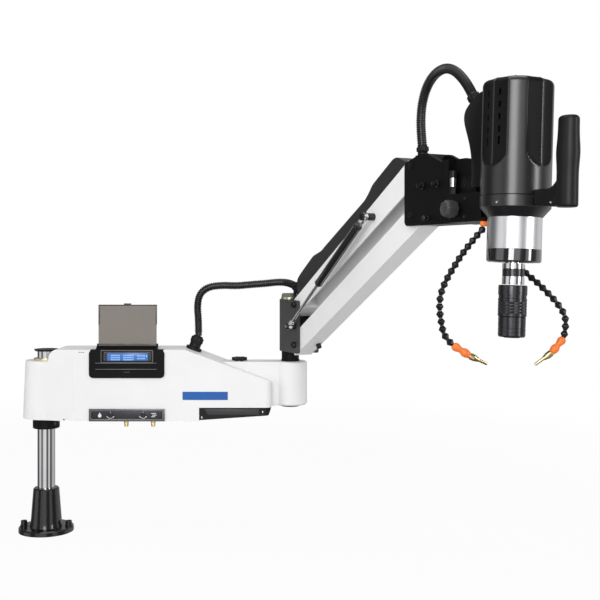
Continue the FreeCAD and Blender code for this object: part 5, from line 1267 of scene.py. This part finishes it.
# %% Plug cover behind the motor
BACK_KNOTS = ((-94, 926), (-94, 946), (-94.5, 966), (-97, 991), (-103, 1013), (-112, 1035), (-123, 1059),
              (-126.5, 1076), (-121, 1092), (-98, 1109), (-76, 1121), (-62, 1122))
back_line = spline_line("back_line", [Vector((ahead, height, 0)) * MM for ahead, height in BACK_KNOTS])
back_outline = [(point.x / MM, point.y / MM) for point in back_line[::6]]
back = bmesh.new()
back_outline += [(-58.0, 1122.0), (-62.0, 926.0)]
prism(back, back_outline, -40.0, 40.0, head_place @ spun(90, "X"), 2.5, 3)
piece(back, "plug_cover_rounded", "tapping_head", "black_plastic", ("rear_cover",))

# %% [markdown]
# The handle is a padded grip. Rings of an oval section are stacked up, a little wider where the palm lies
# and drawn in to a rounded end, and a web joins the grip to the collar of the head.

# %% Handle
def grip_section(share):
    """Half depth and half width of the grip at a share of its height."""
    swell = 2.6 * math.exp(-((share - 0.60) / 0.15) ** 2) + 1.2 * math.exp(-(share / 0.35) ** 2)
    return 22.0 + swell, 17.6 + 0.8 * swell


HANDLE_LOW, HANDLE_HIGH, ROUND_END = 877.0, 1048.0, 8.0
levels = []
for step in range(6):
    turn = math.pi / 2 * step / 5
    levels.append((HANDLE_LOW + ROUND_END * (1 - math.sin(turn)) * 0.5,
                   ROUND_END * 0.5 * (1 - math.cos(turn))))
levels = [(z, inset) for z, inset in reversed(levels)]
levels += [(HANDLE_LOW + 8 + (HANDLE_HIGH - HANDLE_LOW - 18) * step / 22, 0.0) for step in range(23)]
for step in range(7):
    turn = math.pi / 2 * step / 6
    levels.append((HANDLE_HIGH - ROUND_END * (1 - math.sin(turn)), ROUND_END * (1 - math.cos(turn))))
handle = bmesh.new()
grip = bmesh.new()
loop = None
for z, inset in levels:
    share = (z - HANDLE_LOW) / (HANDLE_HIGH - HANDLE_LOW)
    depth, width = grip_section(share)
    size = Matrix.Diagonal(((depth - inset) * MM, (width - inset) * MM, 1, 1))
    here = moved(149, 0, z) @ size
    if loop is None:
        made = bmesh.ops.create_circle(grip, cap_ends=True, segments=36, radius=1.0, matrix=here)
        loop = edges_round(made["verts"])
    else:
        made = bmesh.ops.extrude_edge_only(grip, edges=loop)["geom"]
        loop = edges_of(made)
        bmesh.ops.transform(grip, matrix=here @ before.inverted(), verts=verts_of(made))
    before = here
bmesh.ops.contextual_create(grip, geom=loop)
added(handle, grip, head_place)
web = [(70.9, 884.0), (70.9, 914.0), (112.0, 914.0), (122.0, 918.0), (131.0, 926.0), (140.0, 937.0),
       (152.0, 937.0), (152.0, 880.0), (128.0, 879.0), (78.0, 882.2)]
prism(handle, web, -13.0, 13.0, head_place @ spun(90, "X"), 2.2, 3)
piece(handle, "handle_grip", "tapping_head", "matte_black", ("handle",))
screws("handle_screw", "tapping_head", "bright_steel", 2.6, 1.6,
       [head_place @ moved(121, -13, 886.5) @ spun(90, "X")])
